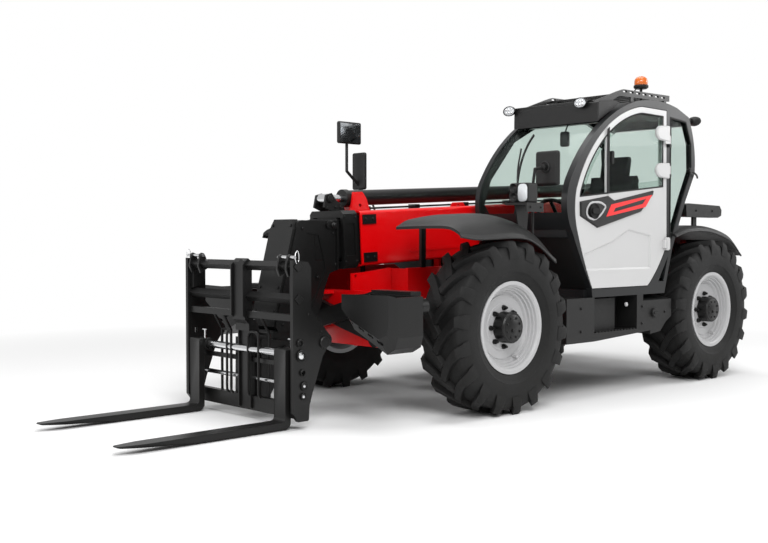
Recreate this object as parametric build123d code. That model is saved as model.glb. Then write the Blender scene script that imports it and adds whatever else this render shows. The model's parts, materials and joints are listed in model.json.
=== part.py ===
"""Telescopic handler with crossed front stabilisers and a fork carriage.

Frame: +X forward (forks), +Y to the machine's left (cab), +Z up, millimetres.
The dimensions below are set out from the ground point under the middle of the
front axle.  Every piece is moved by SHIFT_X when it is written, so the stored
origin is the middle of the bottom of the whole machine.
"""
from build123d import *
import os
from math import atan, cos, hypot, pi, radians, sin

os.makedirs("parts", exist_ok=True)

# ---------------------------------------------------------------- dimensions
CLEAR = 0.3            # gap between faces that seat on each other

WHEELBASE = 2771.0
X_FRONT = 0.0
X_REAR = -WHEELBASE

TYRE_R = 625.0
TYRE_W = 400.0
TYRE_BEAD_R = 305.0
WHEEL_Y = 930.0        # wheel centre plane
AXLE_Z = TYRE_R
RIM_HALF = 165.0
RIM_FLANGE_R = 333.0
DISC_Y = 75.0          # disc plane outboard of the wheel centre plane
HUB_R = 112.0
NUT_CIRCLE = 140.0

KING_Y = 800.0
YOKE_Z = 118.0
YOKE_T = 42.0

BOOM_Y = -130.0
BOOM_DIP = 3.0         # degrees, front lower than rear
BOOM_FRONT_X = 530.0
BOOM_FRONT_ZC = 1260.0
BOOM_H = 414.0
BOOM_W = 400.0
BOOM_WALL = 12.0
BOOM_REAR_X = -3120.0
PIVOT_X = -3180.0
PIVOT_Z = 1500.0
PIVOT_R = 45.0
PAD_ROOM = 18.0        # between a section's bore and the next section

MID_W = BOOM_W - 2 * (BOOM_WALL + PAD_ROOM)
MID_H = BOOM_H - 2 * (BOOM_WALL + PAD_ROOM)
IN_W = MID_W - 2 * (BOOM_WALL + PAD_ROOM)
IN_H = MID_H - 2 * (BOOM_WALL + PAD_ROOM)

TILT_X = 1220.0
TILT_Z = 450.0
TILT_R = 35.0
HEAD_HALF = IN_W / 2 + 6.0

CAR_Y0 = -760.0
CAR_Y1 = 530.0
CAR_T = 30.0
FORK_T = 45.0
FORK_W = 125.0
FORK_FACE_X = 1556.0
FORK_TIP_X = 2756.0
FORK_TOP_Z = 535.0
FORK_Y = (352.0, -673.0)
SHAFT_X = 1470.0
SHAFT_Z = 492.0
SHAFT_R = 27.0

CAB_Y0 = 150.0
CAB_Y1 = 1080.0
CAB_T = 55.0
SILL_Z = 800.0
DOOR_T = 50.0

STAB_PY = 450.0
STAB_PZ = 550.0
STAB_R = 32.0
FOOT_Y = 1000.0
FOOT_Z = 810.0

REAR_X = -3400.0
SHIFT_X = -(FORK_TIP_X + REAR_X) / 2.0

SAY = {}


# ------------------------------------------------------------------- helpers
def put(name, shape):
    """Move a finished piece to the stored origin and write it."""
    rows = shape if isinstance(shape, (list, tuple)) else [shape]
    solids = [Pos(SHIFT_X, 0, 0) * s for r in rows for s in r.solids()]
    out = solids[0] if len(solids) == 1 else Compound(solids)
    out.label = name
    export_step(out, "parts/" + name + ".step")
    SAY[name] = round(out.volume / 1e9, 5)


# stations where the stretch between the tyres begins and ends
SET_FRONT = -655.0
SET_REAR = -2130.0
SET_AXLE = -2771.0
FRONT_ROOM = 30.0      # behind the front tyre
REAR_ROOM = 16.0       # before the rear tyre


def along(x):
    """Place of a station on the machine: the middle stretch follows wheelbase and tyres."""
    front = -(TYRE_R + FRONT_ROOM)
    rear = X_REAR + TYRE_R + REAR_ROOM
    if x >= 0:
        return x
    if x >= SET_FRONT:
        return x * front / SET_FRONT
    if x >= SET_REAR:
        return front + (x - SET_FRONT) * (rear - front) / (SET_REAR - SET_FRONT)
    if x >= SET_AXLE:
        return X_REAR + (x - SET_AXLE) * (rear - X_REAR) / (SET_REAR - SET_AXLE)
    return X_REAR + x - SET_AXLE


def laid(points):
    """Points whose first value is a station, put in their places."""
    return tuple((along(p[0]), p[1]) for p in points)


def xz(points, y0, y1):
    """A plate whose outline is given in X and Z, from y0 to y1."""
    wire = Polyline(*[(p[0], y0, p[1]) for p in points], close=True)
    return extrude(make_face(wire), amount=y1 - y0, dir=(0, 1, 0))


def xy(points, z0, z1):
    """A plate whose outline is given in X and Y, from z0 to z1."""
    wire = Polyline(*[(p[0], p[1], z0) for p in points], close=True)
    return extrude(make_face(wire), amount=z1 - z0, dir=(0, 0, 1))


def yz(points, x0, x1):
    """A plate whose outline is given in Y and Z, from x0 to x1."""
    wire = Polyline(*[(x0, p[0], p[1]) for p in points], close=True)
    return extrude(make_face(wire), amount=x1 - x0, dir=(1, 0, 0))


def box(x0, x1, y0, y1, z0, z1):
    """A block between two corners."""
    middle = ((x0 + x1) / 2, (y0 + y1) / 2, (z0 + z1) / 2)
    return Pos(*middle) * Box(abs(x1 - x0), abs(y1 - y0), abs(z1 - z0))


def soft_box(x0, x1, y0, y1, z0, z1, r):
    """A block with every edge rounded."""
    b = box(x0, x1, y0, y1, z0, z1)
    return fillet(b.edges(), r)


def rod_y(x, z, r, y0, y1):
    """A round bar along Y."""
    return Pos(x, (y0 + y1) / 2, z) * Rot(90, 0, 0) * Cylinder(r, abs(y1 - y0))


def rod_x(y, z, r, x0, x1):
    """A round bar along X."""
    return Pos((x0 + x1) / 2, y, z) * Rot(0, 90, 0) * Cylinder(r, abs(x1 - x0))


def rod_z(x, y, r, z0, z1):
    """A round bar along Z."""
    return Pos(x, y, (z0 + z1) / 2) * Cylinder(r, abs(z1 - z0))


def bar(p, q, r):
    """A round bar between two points."""
    a = Vector(*p)
    b = Vector(*q)
    d = b - a
    return extrude(Plane(origin=a, z_dir=d) * Circle(r), amount=d.length)


def bent_bar(points, r):
    """Round bars joined by balls through a few points."""
    body = bar(points[0], points[1], r)
    for p, q in zip(points[1:], points[2:]):
        body = body + bar(p, q, r) + Pos(*p) * Sphere(r)
    return body


def outline(start, segs, y):
    """A closed wire in the plane of one y: ("l", end) or ("a", through, end)."""
    here = (start[0], y, start[1])
    edges = []
    for s in segs:
        end = (s[-1][0], y, s[-1][1])
        if s[0] == "l":
            edges.append(Line(here, end))
        else:
            edges.append(ThreePointArc(here, (s[1][0], y, s[1][1]), end))
        here = end
    if hypot(here[0] - start[0], here[2] - start[1]) > 0.01:
        edges.append(Line(here, (start[0], y, start[1])))
    return Wire(edges)


def slab(start, segs, y0, y1):
    """A plate with a curved outline, from y0 to y1."""
    return extrude(make_face(outline(start, segs, y0)), amount=y1 - y0, dir=(0, 1, 0))


def grown(start, segs, y0, y1, d):
    """The plate of an outline, made larger by d all round."""
    f = make_face(outline(start, segs, 0))
    g = offset(f, amount=d)
    return extrude(Pos(0, y0, 0) * g, amount=y1 - y0, dir=(0, 1, 0))


def ring_y(x, z, profile):
    """A solid of revolution about a Y line; profile rows are (y, radius)."""
    wire = Polyline(*[(x + p[1], p[0], z) for p in profile], close=True)
    return revolve(make_face(wire), axis=Axis((x, 0, z), (0, 1, 0)))


def facets(loops):
    """A closed solid from its flat faces, each a loop of points."""
    shell = Shell([Face(Wire.make_polygon([Vector(p) for p in f], close=True)) for f in loops])
    return Solid(shell)


# -------------------------------------------------------------------- wheels
WHEELS = (             # name, x, side (+1 left)
    ("front_left", X_FRONT, 1),
    ("front_right", X_FRONT, -1),
    ("rear_left", X_REAR, 1),
    ("rear_right", X_REAR, -1),
)

TYRE_SIDES = 18        # flats round the carcass
BEAD_ROOM = 5.1        # so that the flats clear the round bead seat
LUG_PAIRS = 18

CARCASS = (            # offset from the wheel plane, radius
    (-140.0, TYRE_BEAD_R + BEAD_ROOM),
    (-TYRE_W / 2 + 3, 465.0),
    (-TYRE_W / 2 + 32, TYRE_R - 37),
    (TYRE_W / 2 - 32, TYRE_R - 37),
    (TYRE_W / 2 - 3, 465.0),
    (140.0, TYRE_BEAD_R + BEAD_ROOM),
)

LUG = (                # y and radius of the top, y and radius of the root, lead and half width in degrees
    (TYRE_W / 2 - 1, TYRE_R - 82, TYRE_W / 2 - 50, TYRE_R - 82, 0.0, 2.5),
    (TYRE_W / 2 - 28, TYRE_R - 2, TYRE_W / 2 - 70, TYRE_R - 55, 0.0, 2.5),
    (-18.0, TYRE_R, -18.0, TYRE_R - 50, 20.0, 2.5),
)


def around(r, y, degrees):
    """Point at a radius and an angle forward of the top of a wheel at the origin."""
    a = radians(degrees)
    return (r * sin(a), y, r * cos(a))


def carcass():
    """Tyre body in flats, from bead to bead."""
    step = 360.0 / TYRE_SIDES
    rings = [[around(r, y, step * i) for y, r in CARCASS] for i in range(TYRE_SIDES)]
    loops = []
    for i in range(TYRE_SIDES):
        here = rings[i]
        there = rings[(i + 1) % TYRE_SIDES]
        for k in range(len(CARCASS)):
            j = (k + 1) % len(CARCASS)
            loops.append((here[k], here[j], there[j], there[k]))
    return facets(loops)


def lug(side, degrees):
    """One bar of the tread, from the shoulder to past the middle."""
    rows = []
    for y1, r1, y0, r0, lead, half in LUG:
        a = degrees + lead + half
        rows.append((around(r0, side * y0, a - half), around(r0, side * y0, a + half),
                     around(r1, side * y1, a + half), around(r1, side * y1, a - half)))
    loops = [rows[0][:3], (rows[0][0], rows[0][2], rows[0][3])]
    loops += [rows[-1][:3], (rows[-1][0], rows[-1][2], rows[-1][3])]
    for a, b in zip(rows, rows[1:]):
        for k in range(4):
            j = (k + 1) % 4
            loops += [(a[k], a[j], b[j]), (a[k], b[j], b[k])]
    return facets(loops)


def tyre():
    """Traction tyre about the origin: carcass with crossed bars of tread."""
    step = 360.0 / LUG_PAIRS
    bars = [lug(1, step * i) for i in range(LUG_PAIRS)]
    bars += [lug(-1, step * (i + 0.5)) for i in range(LUG_PAIRS)]
    body = carcass().fuse(*bars)
    return body


RIM_PROFILE = (        # outboard offset from the wheel plane, radius
    (-RIM_HALF, RIM_FLANGE_R),
    (-RIM_HALF, 300.0),
    (-120.0, 284.0),
    (20.0, 262.0),
    (DISC_Y - 14, 250.0),
    (DISC_Y - 14, HUB_R + 1),
    (DISC_Y + 6, HUB_R + 1),
    (DISC_Y + 6, 168.0),
    (DISC_Y, 175.0),
    (DISC_Y, 230.0),
    (DISC_Y - 5, 234.0),
    (DISC_Y - 5, 240.0),
    (88.0, 252.0),
    (90.0, 264.0),
    (110.0, 268.0),
    (112.0, 278.0),
    (132.0, 282.0),
    (134.0, 291.0),
    (152.0, 295.0),
    (RIM_HALF, 308.0),
    (RIM_HALF, RIM_FLANGE_R),
    (RIM_HALF - 10, RIM_FLANGE_R),
    (RIM_HALF - 14, TYRE_BEAD_R),
    (118.0, TYRE_BEAD_R),
    (100.0, 289.0),
    (60.0, 276.0),
    (-100.0, 290.0),
    (-118.0, TYRE_BEAD_R),
    (-RIM_HALF + 14, TYRE_BEAD_R),
    (-RIM_HALF + 10, RIM_FLANGE_R),
)


def rim(x, side):
    """Dished rim: stepped barrel, raised disc and the valve."""
    y = side * WHEEL_Y
    body = ring_y(x, AXLE_Z, [(y + side * p[0], p[1]) for p in RIM_PROFILE])
    valve = rod_y(x - 105, AXLE_Z - 218, 8, y + side * (DISC_Y + 8), y + side * (DISC_Y + 50))
    return body + valve


HUB_PROFILE = (        # outboard offset from the wheel plane, radius
    (-40.0, 0.1),
    (-40.0, 150.0),
    (DISC_Y - 15, 170.0),
    (DISC_Y - 14.3, HUB_R),
    (DISC_Y + 92, HUB_R),
    (DISC_Y + 101, HUB_R - 8),
    (DISC_Y + 101, HUB_R - 20),
    (DISC_Y + 98, HUB_R - 22),
    (DISC_Y + 98, 0.1),
)
NUT_PROFILE = (        # height over the disc, radius
    (CLEAR, 0.1),
    (CLEAR, 19.0),
    (12.0, 19.0),
    (26.0, 14.0),
    (26.0, 9.0),
    (38.0, 9.0),
    (38.0, 0.1),
)


def hub(x, side):
    """Planetary hub drum that the rim is bolted to, with its eight nuts."""
    y = side * WHEEL_Y
    body = ring_y(x, AXLE_Z, [(y + side * p[0], p[1]) for p in HUB_PROFILE])
    for i in range(8):
        a = radians(45 * i)
        rows = [(y + side * (DISC_Y + 6 + p[0]), p[1]) for p in NUT_PROFILE]
        body = body + ring_y(x + NUT_CIRCLE * cos(a), AXLE_Z + NUT_CIRCLE * sin(a), rows)
    return body


def knuckle(x, side):
    """Steering knuckle: barrel between the yoke arms, spindle carrier and steering arm."""
    y = side * KING_Y
    body = rod_z(x, y, 52, AXLE_Z - YOKE_Z + CLEAR, AXLE_Z + YOKE_Z - CLEAR)
    body = body + rod_y(x, AXLE_Z, 100, y + side * 10, side * (WHEEL_Y - 40 - CLEAR))
    arm = box(x - 175, x - 30, y - 24, y + 24, AXLE_Z - 90, AXLE_Z - 62)
    return body + arm


AXLE_PROFILE = (       # half of the housing: distance from the middle, radius
    (0.0, 190.0), (120.0, 190.0), (250.0, 150.0), (430.0, 92.0), (700.0, 78.0), (700.0, 0.1),
)
AXLE_SEATS = ((-390.0, -290.0), (250.0, 330.0))


def axle(x):
    """Axle housing with centre bulge, tapered arms, yokes and seats under the frame."""
    left = [(p[0], p[1]) for p in AXLE_PROFILE]
    right = [(-p[0], p[1]) for p in reversed(AXLE_PROFILE[1:])]
    body = ring_y(x, AXLE_Z, right + left)
    for s in (1, -1):
        body = body + box(x - 62, x + 62, s * 640, s * 716, AXLE_Z - YOKE_Z - YOKE_T, AXLE_Z + YOKE_Z + YOKE_T)
        for dz in (-YOKE_Z - YOKE_T, YOKE_Z):
            arm = box(x - 55, x + 55, s * 650, s * KING_Y, AXLE_Z + dz, AXLE_Z + dz + YOKE_T)
            body = body + arm + rod_z(x, s * KING_Y, 55, AXLE_Z + dz, AXLE_Z + dz + YOKE_T)
    for y0, y1 in AXLE_SEATS:
        body = body + box(x - 110, x + 110, y0, y1, AXLE_Z + 60, ARCH_Z - CLEAR)
    nose = rod_x(0, AXLE_Z, 105, x - 250, x) if x > SET_FRONT else rod_x(0, AXLE_Z, 105, x, x + 250)
    return body + nose


# ------------------------------------------------------------------- chassis
ARCH_Z = 776.0
RAIL_Y = 330.0
RAIL_T = 25.0
FLOOR_Z = 440.0
RIGHT_RAIL_Y = -RAIL_Y - 60.0
NECK_Y = 150.0
FACE_X = 655.0         # rear face of the stabiliser's base plate
FACE_T = 35.0

RAIL_TAIL = (          # side plate from the cab back to the floor of the front wheel bay
    (-230.0, 1050.0), (-420.0, 930.0), (-600.0, 790.0), (-2350.0, 790.0), (-2700.0, 1180.0),
    (-2980.0, 1620.0), (-3130.0, 1660.0), (-3270.0, 1620.0), (-3300.0, 1480.0), (-3300.0, 780.0),
    (-2950.0, ARCH_Z), (-2500.0, ARCH_Z), (-2380.0, 560.0), (-2250.0, FLOOR_Z), (-420.0, FLOOR_Z),
    (-300.0, 560.0), (-200.0, ARCH_Z),
)
NECK_TOP = ((687.0, 1005.0), (560.0, 1012.0), (300.0, 1040.0))
NECK_LOW = ((290.0, 640.0), (330.0, 560.0), (470.0, 470.0), (FACE_X, 470.0), (FACE_X, 876.0), (687.0, 876.0))


def side_plates():
    """The two long plates of the frame and the narrower left one of the neck."""
    left = xz(((295.0, 1040.0),) + laid(RAIL_TAIL) + ((230.0, ARCH_Z), (295.0, 640.0)), RAIL_Y - RAIL_T, RAIL_Y)
    neck = xz(NECK_TOP + NECK_LOW, NECK_Y - RAIL_T, NECK_Y)
    eye = rod_y(655, 985, 12, NECK_Y - 40, NECK_Y + 5)
    step = box(270, 295, NECK_Y - RAIL_T, RAIL_Y - 5, 640, 1035)
    right = xz(NECK_TOP + laid(RAIL_TAIL) + ((230.0, ARCH_Z),) + NECK_LOW[1:], RIGHT_RAIL_Y, RIGHT_RAIL_Y + RAIL_T)
    return left + (neck - eye) + step + right


def chassis():
    """Welded frame: side plates, floors, front base plate and rear boom tower."""
    y0 = RIGHT_RAIL_Y + 10
    y1 = RAIL_Y - 10
    body = side_plates()
    for x0, x1, z in ((-2240, -430, FLOOR_Z), (-190, 220, 830), (-2940, -2500, 830)):
        body = body + box(along(x0), along(x1), y0, y1, z, z + 20)
    body = body + box(along(-3300), along(-3270), y0, y1, 780, 1300)
    face = ((-520, 480), (520, 480), (520, 640), (400, 880), (-400, 880), (-520, 640))
    body = body + yz(face, FACE_X, FACE_X + FACE_T)
    body = body + box(480, 660, y0, NECK_Y - 10, 600, 625)
    for y in (BOOM_Y - BOOM_W / 2 - 55, BOOM_Y + BOOM_W / 2 + 12):
        body = body + rod_y(along(PIVOT_X), PIVOT_Z, 105, y, y + 43)
    inner = BOOM_Y + BOOM_W / 2 + 12
    body = body + box(along(-3290), along(-3060), inner, y1, 1180, 1220)
    body = body + box(along(-3250), along(-3110), inner, inner + 43, 1200, 1500)
    body = body + rod_y(along(PIVOT_X), PIVOT_Z, PIVOT_R, BOOM_Y - BOOM_W / 2 - 50, RAIL_Y - 5)
    for dy in (-68, 48):
        ear = box(along(-3275), LIFT_AX, BOOM_Y + dy, BOOM_Y + dy + 20, LIFT_AZ - 55, LIFT_AZ + 55)
        body = body + ear + rod_y(LIFT_AX, LIFT_AZ, 55, BOOM_Y + dy, BOOM_Y + dy + 20)
    body = body + rod_y(LIFT_AX, LIFT_AZ, LIFT_PIN_R, BOOM_Y - 68, BOOM_Y + 68)
    return body + stabiliser_pins()


STAB_X = {1: (757.0, 803.0), -1: (704.0, 750.0)}   # arm planes of the left and right legs
CROWN_Z = 850.0


def stabiliser_pins():
    """Pins of the crossed legs: one on the base plate, one on a bracket reaching over the legs."""
    back = FACE_X + FACE_T
    pin = rod_x(STAB_PY, STAB_PZ, STAB_R, back - 5, STAB_X[-1][1] + 1)
    pin = pin + rod_x(STAB_PY, STAB_PZ, 48, back - 5, STAB_X[-1][0] - 1)
    front = STAB_X[1][1] + 9
    bracket = yz(((-520, 480), (-380, 480), (-380, 560), (-60, 830), (-60, 885), (-150, 885), (-520, 640)),
                 front, front + 18)
    bracket = bracket + box(back - 5, front + 5, -150, -60, CROWN_Z, 880)
    bracket = bracket + rod_x(-STAB_PY, STAB_PZ, STAB_R, STAB_X[1][0] - 2, front + 30)
    bracket = bracket + rod_x(-STAB_PY, STAB_PZ, 48, STAB_X[1][1] + 1, front + 1)
    return pin + bracket + rod_x(-STAB_PY, STAB_PZ, 48, front + 17, front + 32)


HOOD_TOP = 1290.0
HOOD_Y = -400.0
HOOD_PY = -386.0       # hood hinge axis
HOOD_PZ = HOOD_TOP - 6.0
HOOD_POSTS = (-1930.0, -900.0)
HOOD_X = (-2066.0, -735.0)


def engine_tray():
    """Floor and end walls that carry the engine and the hood."""
    x0 = along(HOOD_X[0] + 32)
    x1 = along(HOOD_X[1] - 32)
    y0 = -880.0
    y1 = RIGHT_RAIL_Y + 20
    body = box(x0, x1, y0 - 60, y1, 470, 500)
    body = body + box(x0, x0 + 25, y0, y1, 500, 1140) + box(x1 - 25, x1, y0, y1, 500, 1140)
    body = body + box(along(-1900), along(-900), -900, -520, 500, 559.7)
    for x in HOOD_POSTS:
        post = box(along(x), along(x) + 50, -388, -366, 700, HOOD_PZ)
        body = body + post + rod_x(HOOD_PY, HOOD_PZ, 11, along(x), along(x) + 50)
    return body


# lift cylinder: lower pin, upper pin and bores
LIFT_AX = along(-2950.0)
LIFT_AZ = 1050.0
LIFT_BX = along(-1400.0)
LIFT_BZ = 1030.0
LIFT_LEN = hypot(LIFT_BX - LIFT_AX, LIFT_BZ - LIFT_AZ)
LIFT_PIN_R = 28.0

TYRE = tyre()
for name, x, side in WHEELS:
    put("tyre_" + name, Pos(x, side * WHEEL_Y, AXLE_Z) * TYRE)
    put("rim_" + name, rim(x, side))
    put("hub_" + name, hub(x, side))
    put("knuckle_" + name, knuckle(x, side))
put("axles", [axle(X_FRONT), axle(X_REAR)])
put("chassis", chassis() + engine_tray())


TOW_X = -3372.0
TOW_Y = -30.0
TOW_R = 16.0
TAIL_FACE = -3350.0


def counterweight():
    """Rear casting with the tow jaw behind it."""
    side = laid(((-3300.3, 600), (-3300.3, 1300), (-3330, 1340), (TAIL_FACE, 1290), (TAIL_FACE, 600)))
    body = xz(side, -440, 430)
    x0 = along(REAR_X)
    x1 = along(TAIL_FACE) + 5
    jaw = box(x0, x1, -85, 25, 600, 640) + box(x0, x1, -85, 25, 700, 740)
    return body + jaw - rod_z(along(TOW_X), TOW_Y, TOW_R, 550, 760)


def engine():
    """Engine, as one plain block on the right of the frame."""
    return box(along(-1900), along(-900), -960, -460, 560, 1180)


def hood_shell(d, y_in):
    """Solid of the engine cover, d inside its skin; its ends keep clear of the turning tyres."""
    x0 = along(HOOD_X[0]) + d
    x1 = along(HOOD_X[1]) - d
    skin = ((y_in, HOOD_TOP - d), (-900 + d, HOOD_TOP - d), (-1080 + d, 1180 - d), (-1080 + d, 560 - 2 * d),
            (y_in, 560 - 2 * d))
    plan = ((x0, 0), (x1, 0), (x1, -900), (x1 - 40, -1100), (x0, -1100))
    return yz(skin, x0 - 80, x1 + 80) & xy(plan, 400, 1400)


def hood():
    """Engine cover: top, outer wall and ends, open below and inside, with a louvred panel."""
    body = hood_shell(0, HOOD_Y) - hood_shell(28, HOOD_Y + 50)
    body = body - box(along(-2200), along(-600), HOOD_Y - 30, HOOD_Y + 60, 400, HOOD_TOP - 28)
    for i in range(9):
        z = 700 + 46 * i
        body = body - box(along(-1900), along(-1300), -1090, -1072, z, z + 24)
    for x in HOOD_POSTS:
        leaf = box(along(x) + 50 + CLEAR, along(x) + 110, HOOD_Y - 10, HOOD_PY, HOOD_PZ - 6, HOOD_PZ + 6)
        body = body + leaf + rod_x(HOOD_PY, HOOD_PZ, 11, along(x) + 50 + CLEAR, along(x) + 110)
    return body


put("counterweight", counterweight())
put("engine_block", engine())
put("engine_hood", hood())

BOX_Z = 455.0
STEP_X = (-1600.0, -1010.0)


def side_box():
    """Tank, step and tool box below the cab; the ends keep clear of the turning tyres."""
    y0 = RAIL_Y + CLEAR
    plan = laid(((-655, 1080), (-712, 860), (-712, y0), (-2056, y0), (-2056, 860), (-2118, 1080)))
    body = xy(plan, BOX_Z, SILL_Z - CLEAR)
    x0, x1 = (along(x) for x in STEP_X)
    body = body - box(x0, x1, 880, 1100, BOX_Z + 65, SILL_Z + 10)
    body = body - xz(((x1, BOX_Z - 5), (x0 - 200, BOX_Z - 5), (x0 - 200, BOX_Z + 40), (x1, BOX_Z)), 200, 1100)
    under = laid(((-1650, BOX_Z - 5), (-2200, BOX_Z - 5), (-2200, 640), (-2040, 560), (-1950, 480)))
    body = body - xz(under, 700, 1100)
    slope = yz(((880, SILL_Z + 5), (1100, SILL_Z + 5), (1100, 742), (900, SILL_Z - 4)), along(-2200), x0 - 90)
    body = body - slope
    for i in range(13):
        x = x0 + 20 + 43 * i
        body = body + box(x, x + 20, 1040, 1075, BOX_Z + 60, BOX_Z + 74)
    strap = box(x0 + 60, x0 + 150, 875, 905, BOX_Z + 60, SILL_Z - CLEAR)
    cover = box(x0 + 200, x1 - 20, 875, 1000, BOX_Z + 60, SILL_Z - 20)
    return body + strap + cover


put("side_tank", side_box())

# ------------------------------------------------------------------- fenders
FENDER_T = 22.0
LIP_T = 10.0
LIP_Y = 1120.0

# rows run from the machine's middle outward: distance from the middle, then station and
# height over the tyre of each point of the top, front to rear
FRONT_FENDER = (
    (480.0, ((560, 95), (400, 155), (-40, 190), (-460, 70), (-632, -125))),
    (800.0, ((570, 100), (400, 155), (-40, 190), (-420, 80), (-610, -125))),
    (1000.0, ((572, 95), (390, 115), (-45, 135), (-360, 38), (-560, -130))),
    (1095.0, ((572, 62), (380, 50), (-50, 60), (-300, -32), (-500, -140))),
    (LIP_Y, ((566, 29), (375, 12), (-52, 22), (-250, -28), (-470, -163))),
)
REAR_FENDER = (
    (480.0, ((-2121, 60), (-2346, 112), (-2700, 122), (-3096, 42), (-3341, -130))),
    (1000.0, ((-2121, 60), (-2346, 112), (-2690, 122), (-3091, 42), (-3326, -130))),
    (1095.0, ((-2121, 50), (-2346, 100), (-2682, 102), (-3051, 20), (-3271, -130))),
    (LIP_Y, ((-2121, 32), (-2346, 79), (-2682, 76), (-3037, -4), (-3243, -143))),
)


def height(row, x):
    """Height of a falling or rising line of points at a station."""
    for (x0, z0), (x1, z1) in zip(row, row[1:]):
        if min(x0, x1) <= x <= max(x0, x1):
            return z0 + (z1 - z0) * (x - x0) / (x1 - x0)
    return row[-1][1]


def fender_rows(table, lift):
    """The rows of a fender in their places, raised by lift."""
    top = AXLE_Z + TYRE_R
    return [(y, tuple((along(p[0]), top + p[1] + lift) for p in row)) for y, row in table]


def fender(table, side, thick=FENDER_T, lift=0.0):
    """A shell lofted from its inner edge over the tyre to its outer lip."""
    faces = []
    for y, row in fender_rows(table, lift):
        deep = LIP_T if y == LIP_Y and thick == FENDER_T else thick
        top = [(p[0], side * y, p[1]) for p in row]
        low = [(p[0], side * y, p[1] - deep) for p in reversed(row)]
        faces.append(make_face(Polyline(*(top + low), close=True)))
    return loft(faces, ruled=True)


LEFT_TOP = ((295.0, 1040.0),) + laid(RAIL_TAIL[:1])
RIGHT_TOP = (NECK_TOP[-1],) + laid(RAIL_TAIL[:1])
STAY_W = 50.0
STAY_FRONT = 100.0
STAY_REAR = -2900.0


def front_fender(side):
    """Front fender on an angle that stands on the frame's side plate."""
    x0 = STAY_FRONT
    x1 = x0 + STAY_W
    inner = fender_rows(FRONT_FENDER, 0.0)[0][1]
    z_arm = height(inner, (x0 + x1) / 2) - FENDER_T + 3
    plate = (RAIL_Y - RAIL_T, RAIL_Y) if side > 0 else (RIGHT_RAIL_Y, RIGHT_RAIL_Y + RAIL_T)
    edge = LEFT_TOP if side > 0 else RIGHT_TOP
    foot = ((x0, height(edge, x0) + CLEAR), (x1, height(edge, x1) + CLEAR), (x1, z_arm), (x0, z_arm))
    post = xz(foot, plate[0] + 2, plate[1] - 2)
    start = plate[0] + 2 if side > 0 else plate[1] - 2
    arm = box(x0, x1, min(start, side * 620), max(start, side * 620), z_arm - 24, z_arm)
    return fender(FRONT_FENDER, side) + post + arm


def rear_fender(side):
    """Rear fender on a bracket that stands off the frame's side plate."""
    x0 = along(STAY_REAR)
    x1 = x0 + STAY_W
    inner = fender_rows(REAR_FENDER, 0.0)[0][1]
    z_arm = height(inner, (x0 + x1) / 2) - FENDER_T + 3
    y0 = RAIL_Y + CLEAR if side > 0 else RIGHT_RAIL_Y - CLEAR
    y1 = y0 + side * 28
    post = box(x0, x1, min(y0, y1), max(y0, y1), z_arm - 140, z_arm)
    arm = box(x0, x1, min(y0, side * 620), max(y0, side * 620), z_arm - 24, z_arm)
    return fender(REAR_FENDER, side) + post + arm


# ----------------------------------------------------------------------- cab
CAB_START = (-985.0, SILL_Z)
CAB_OUT = (
    ("l", (-969.0, 878.0)),
    ("a", (-838.0, 1090.0), (-723.0, 1307.0)),
    ("a", (-651.0, 1537.0), (-719.0, 1751.0)),
    ("a", (-1063.0, 2131.0), (-1578.0, 2379.0)),
    ("a", (-1889.0, 2407.0), (-2184.0, 2374.0)),
    ("l", (-2374.0, 2309.0)),
    ("a", (-2460.0, 2100.0), (-2479.0, 1825.0)),
    ("l", (-2327.0, 1576.0)),
    ("l", (-2126.0, 1171.0)),
    ("l", (-2010.0, SILL_Z)),
)
DOOR_START = (-983.0, 872.0)
DOOR_OUT = (
    ("a", (-876.0, 1090.0), (-798.0, 1289.0)),
    ("a", (-757.0, 1500.0), (-775.0, 1640.0)),
    ("a", (-1063.0, 2058.0), (-1647.0, 2338.0)),
    ("l", (-2019.0, 2335.0)),
    ("l", (-2037.0, 1211.0)),
    ("a", (-1930.0, 1050.0), (-1756.0, 872.0)),
)
DOOR_GAP = 6.0         # between door and frame
HINGE_X = -2040.0
HINGE_Y = CAB_Y1 + 18.0
HINGE_R = 12.0
HINGE_Z = (1215.0, 1838.0, 2092.0)

QUARTER = (            # rear quarter window of the left side frame, x z
    (-2078.0, 1215.0), (-2078.0, 2290.0), (-2330.0, 2270.0), (-2420.0, 2080.0), (-2430.0, 1850.0),
    (-2295.0, 1610.0), (-2105.0, 1228.0),
)
LOW_PANE = ((-1913.0, 900.0), (-1995.0, 900.0), (-2062.0, 1110.0))
RIGHT_PANE = (         # window of the right side frame, x z
    (-830.0, 1400.0), (-720.0, 1540.0), (-800.0, 1740.0), (-1100.0, 2070.0), (-1600.0, 2310.0),
    (-1900.0, 2335.0), (-2180.0, 2300.0), (-2330.0, 2250.0), (-2400.0, 2080.0), (-2420.0, 1850.0),
    (-2250.0, 1560.0), (-2180.0, 1400.0),
)
COWL_Z = 1460.0        # where the windscreen starts


def pane(points, y0, y1):
    """A flat pane that seats in an opening."""
    f = offset(make_face(Polyline(*[(p[0], y0, p[1]) for p in points], close=True)), amount=-CLEAR)
    return extrude(f, amount=y1 - y0, dir=(0, 1, 0))


CROSS_MEMBERS = (      # x0, x1, z0, z1
    (-985.0, -940.0, 800.0, 860.0), (-790.0, -720.0, 1270.0, 1330.0), (-1300.0, -1230.0, 2190.0, 2250.0),
    (-2370.0, -2300.0, 2230.0, 2300.0), (-2180.0, -2110.0, 1180.0, 1240.0), (-2030.0, -1960.0, 800.0, 860.0),
)


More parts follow.
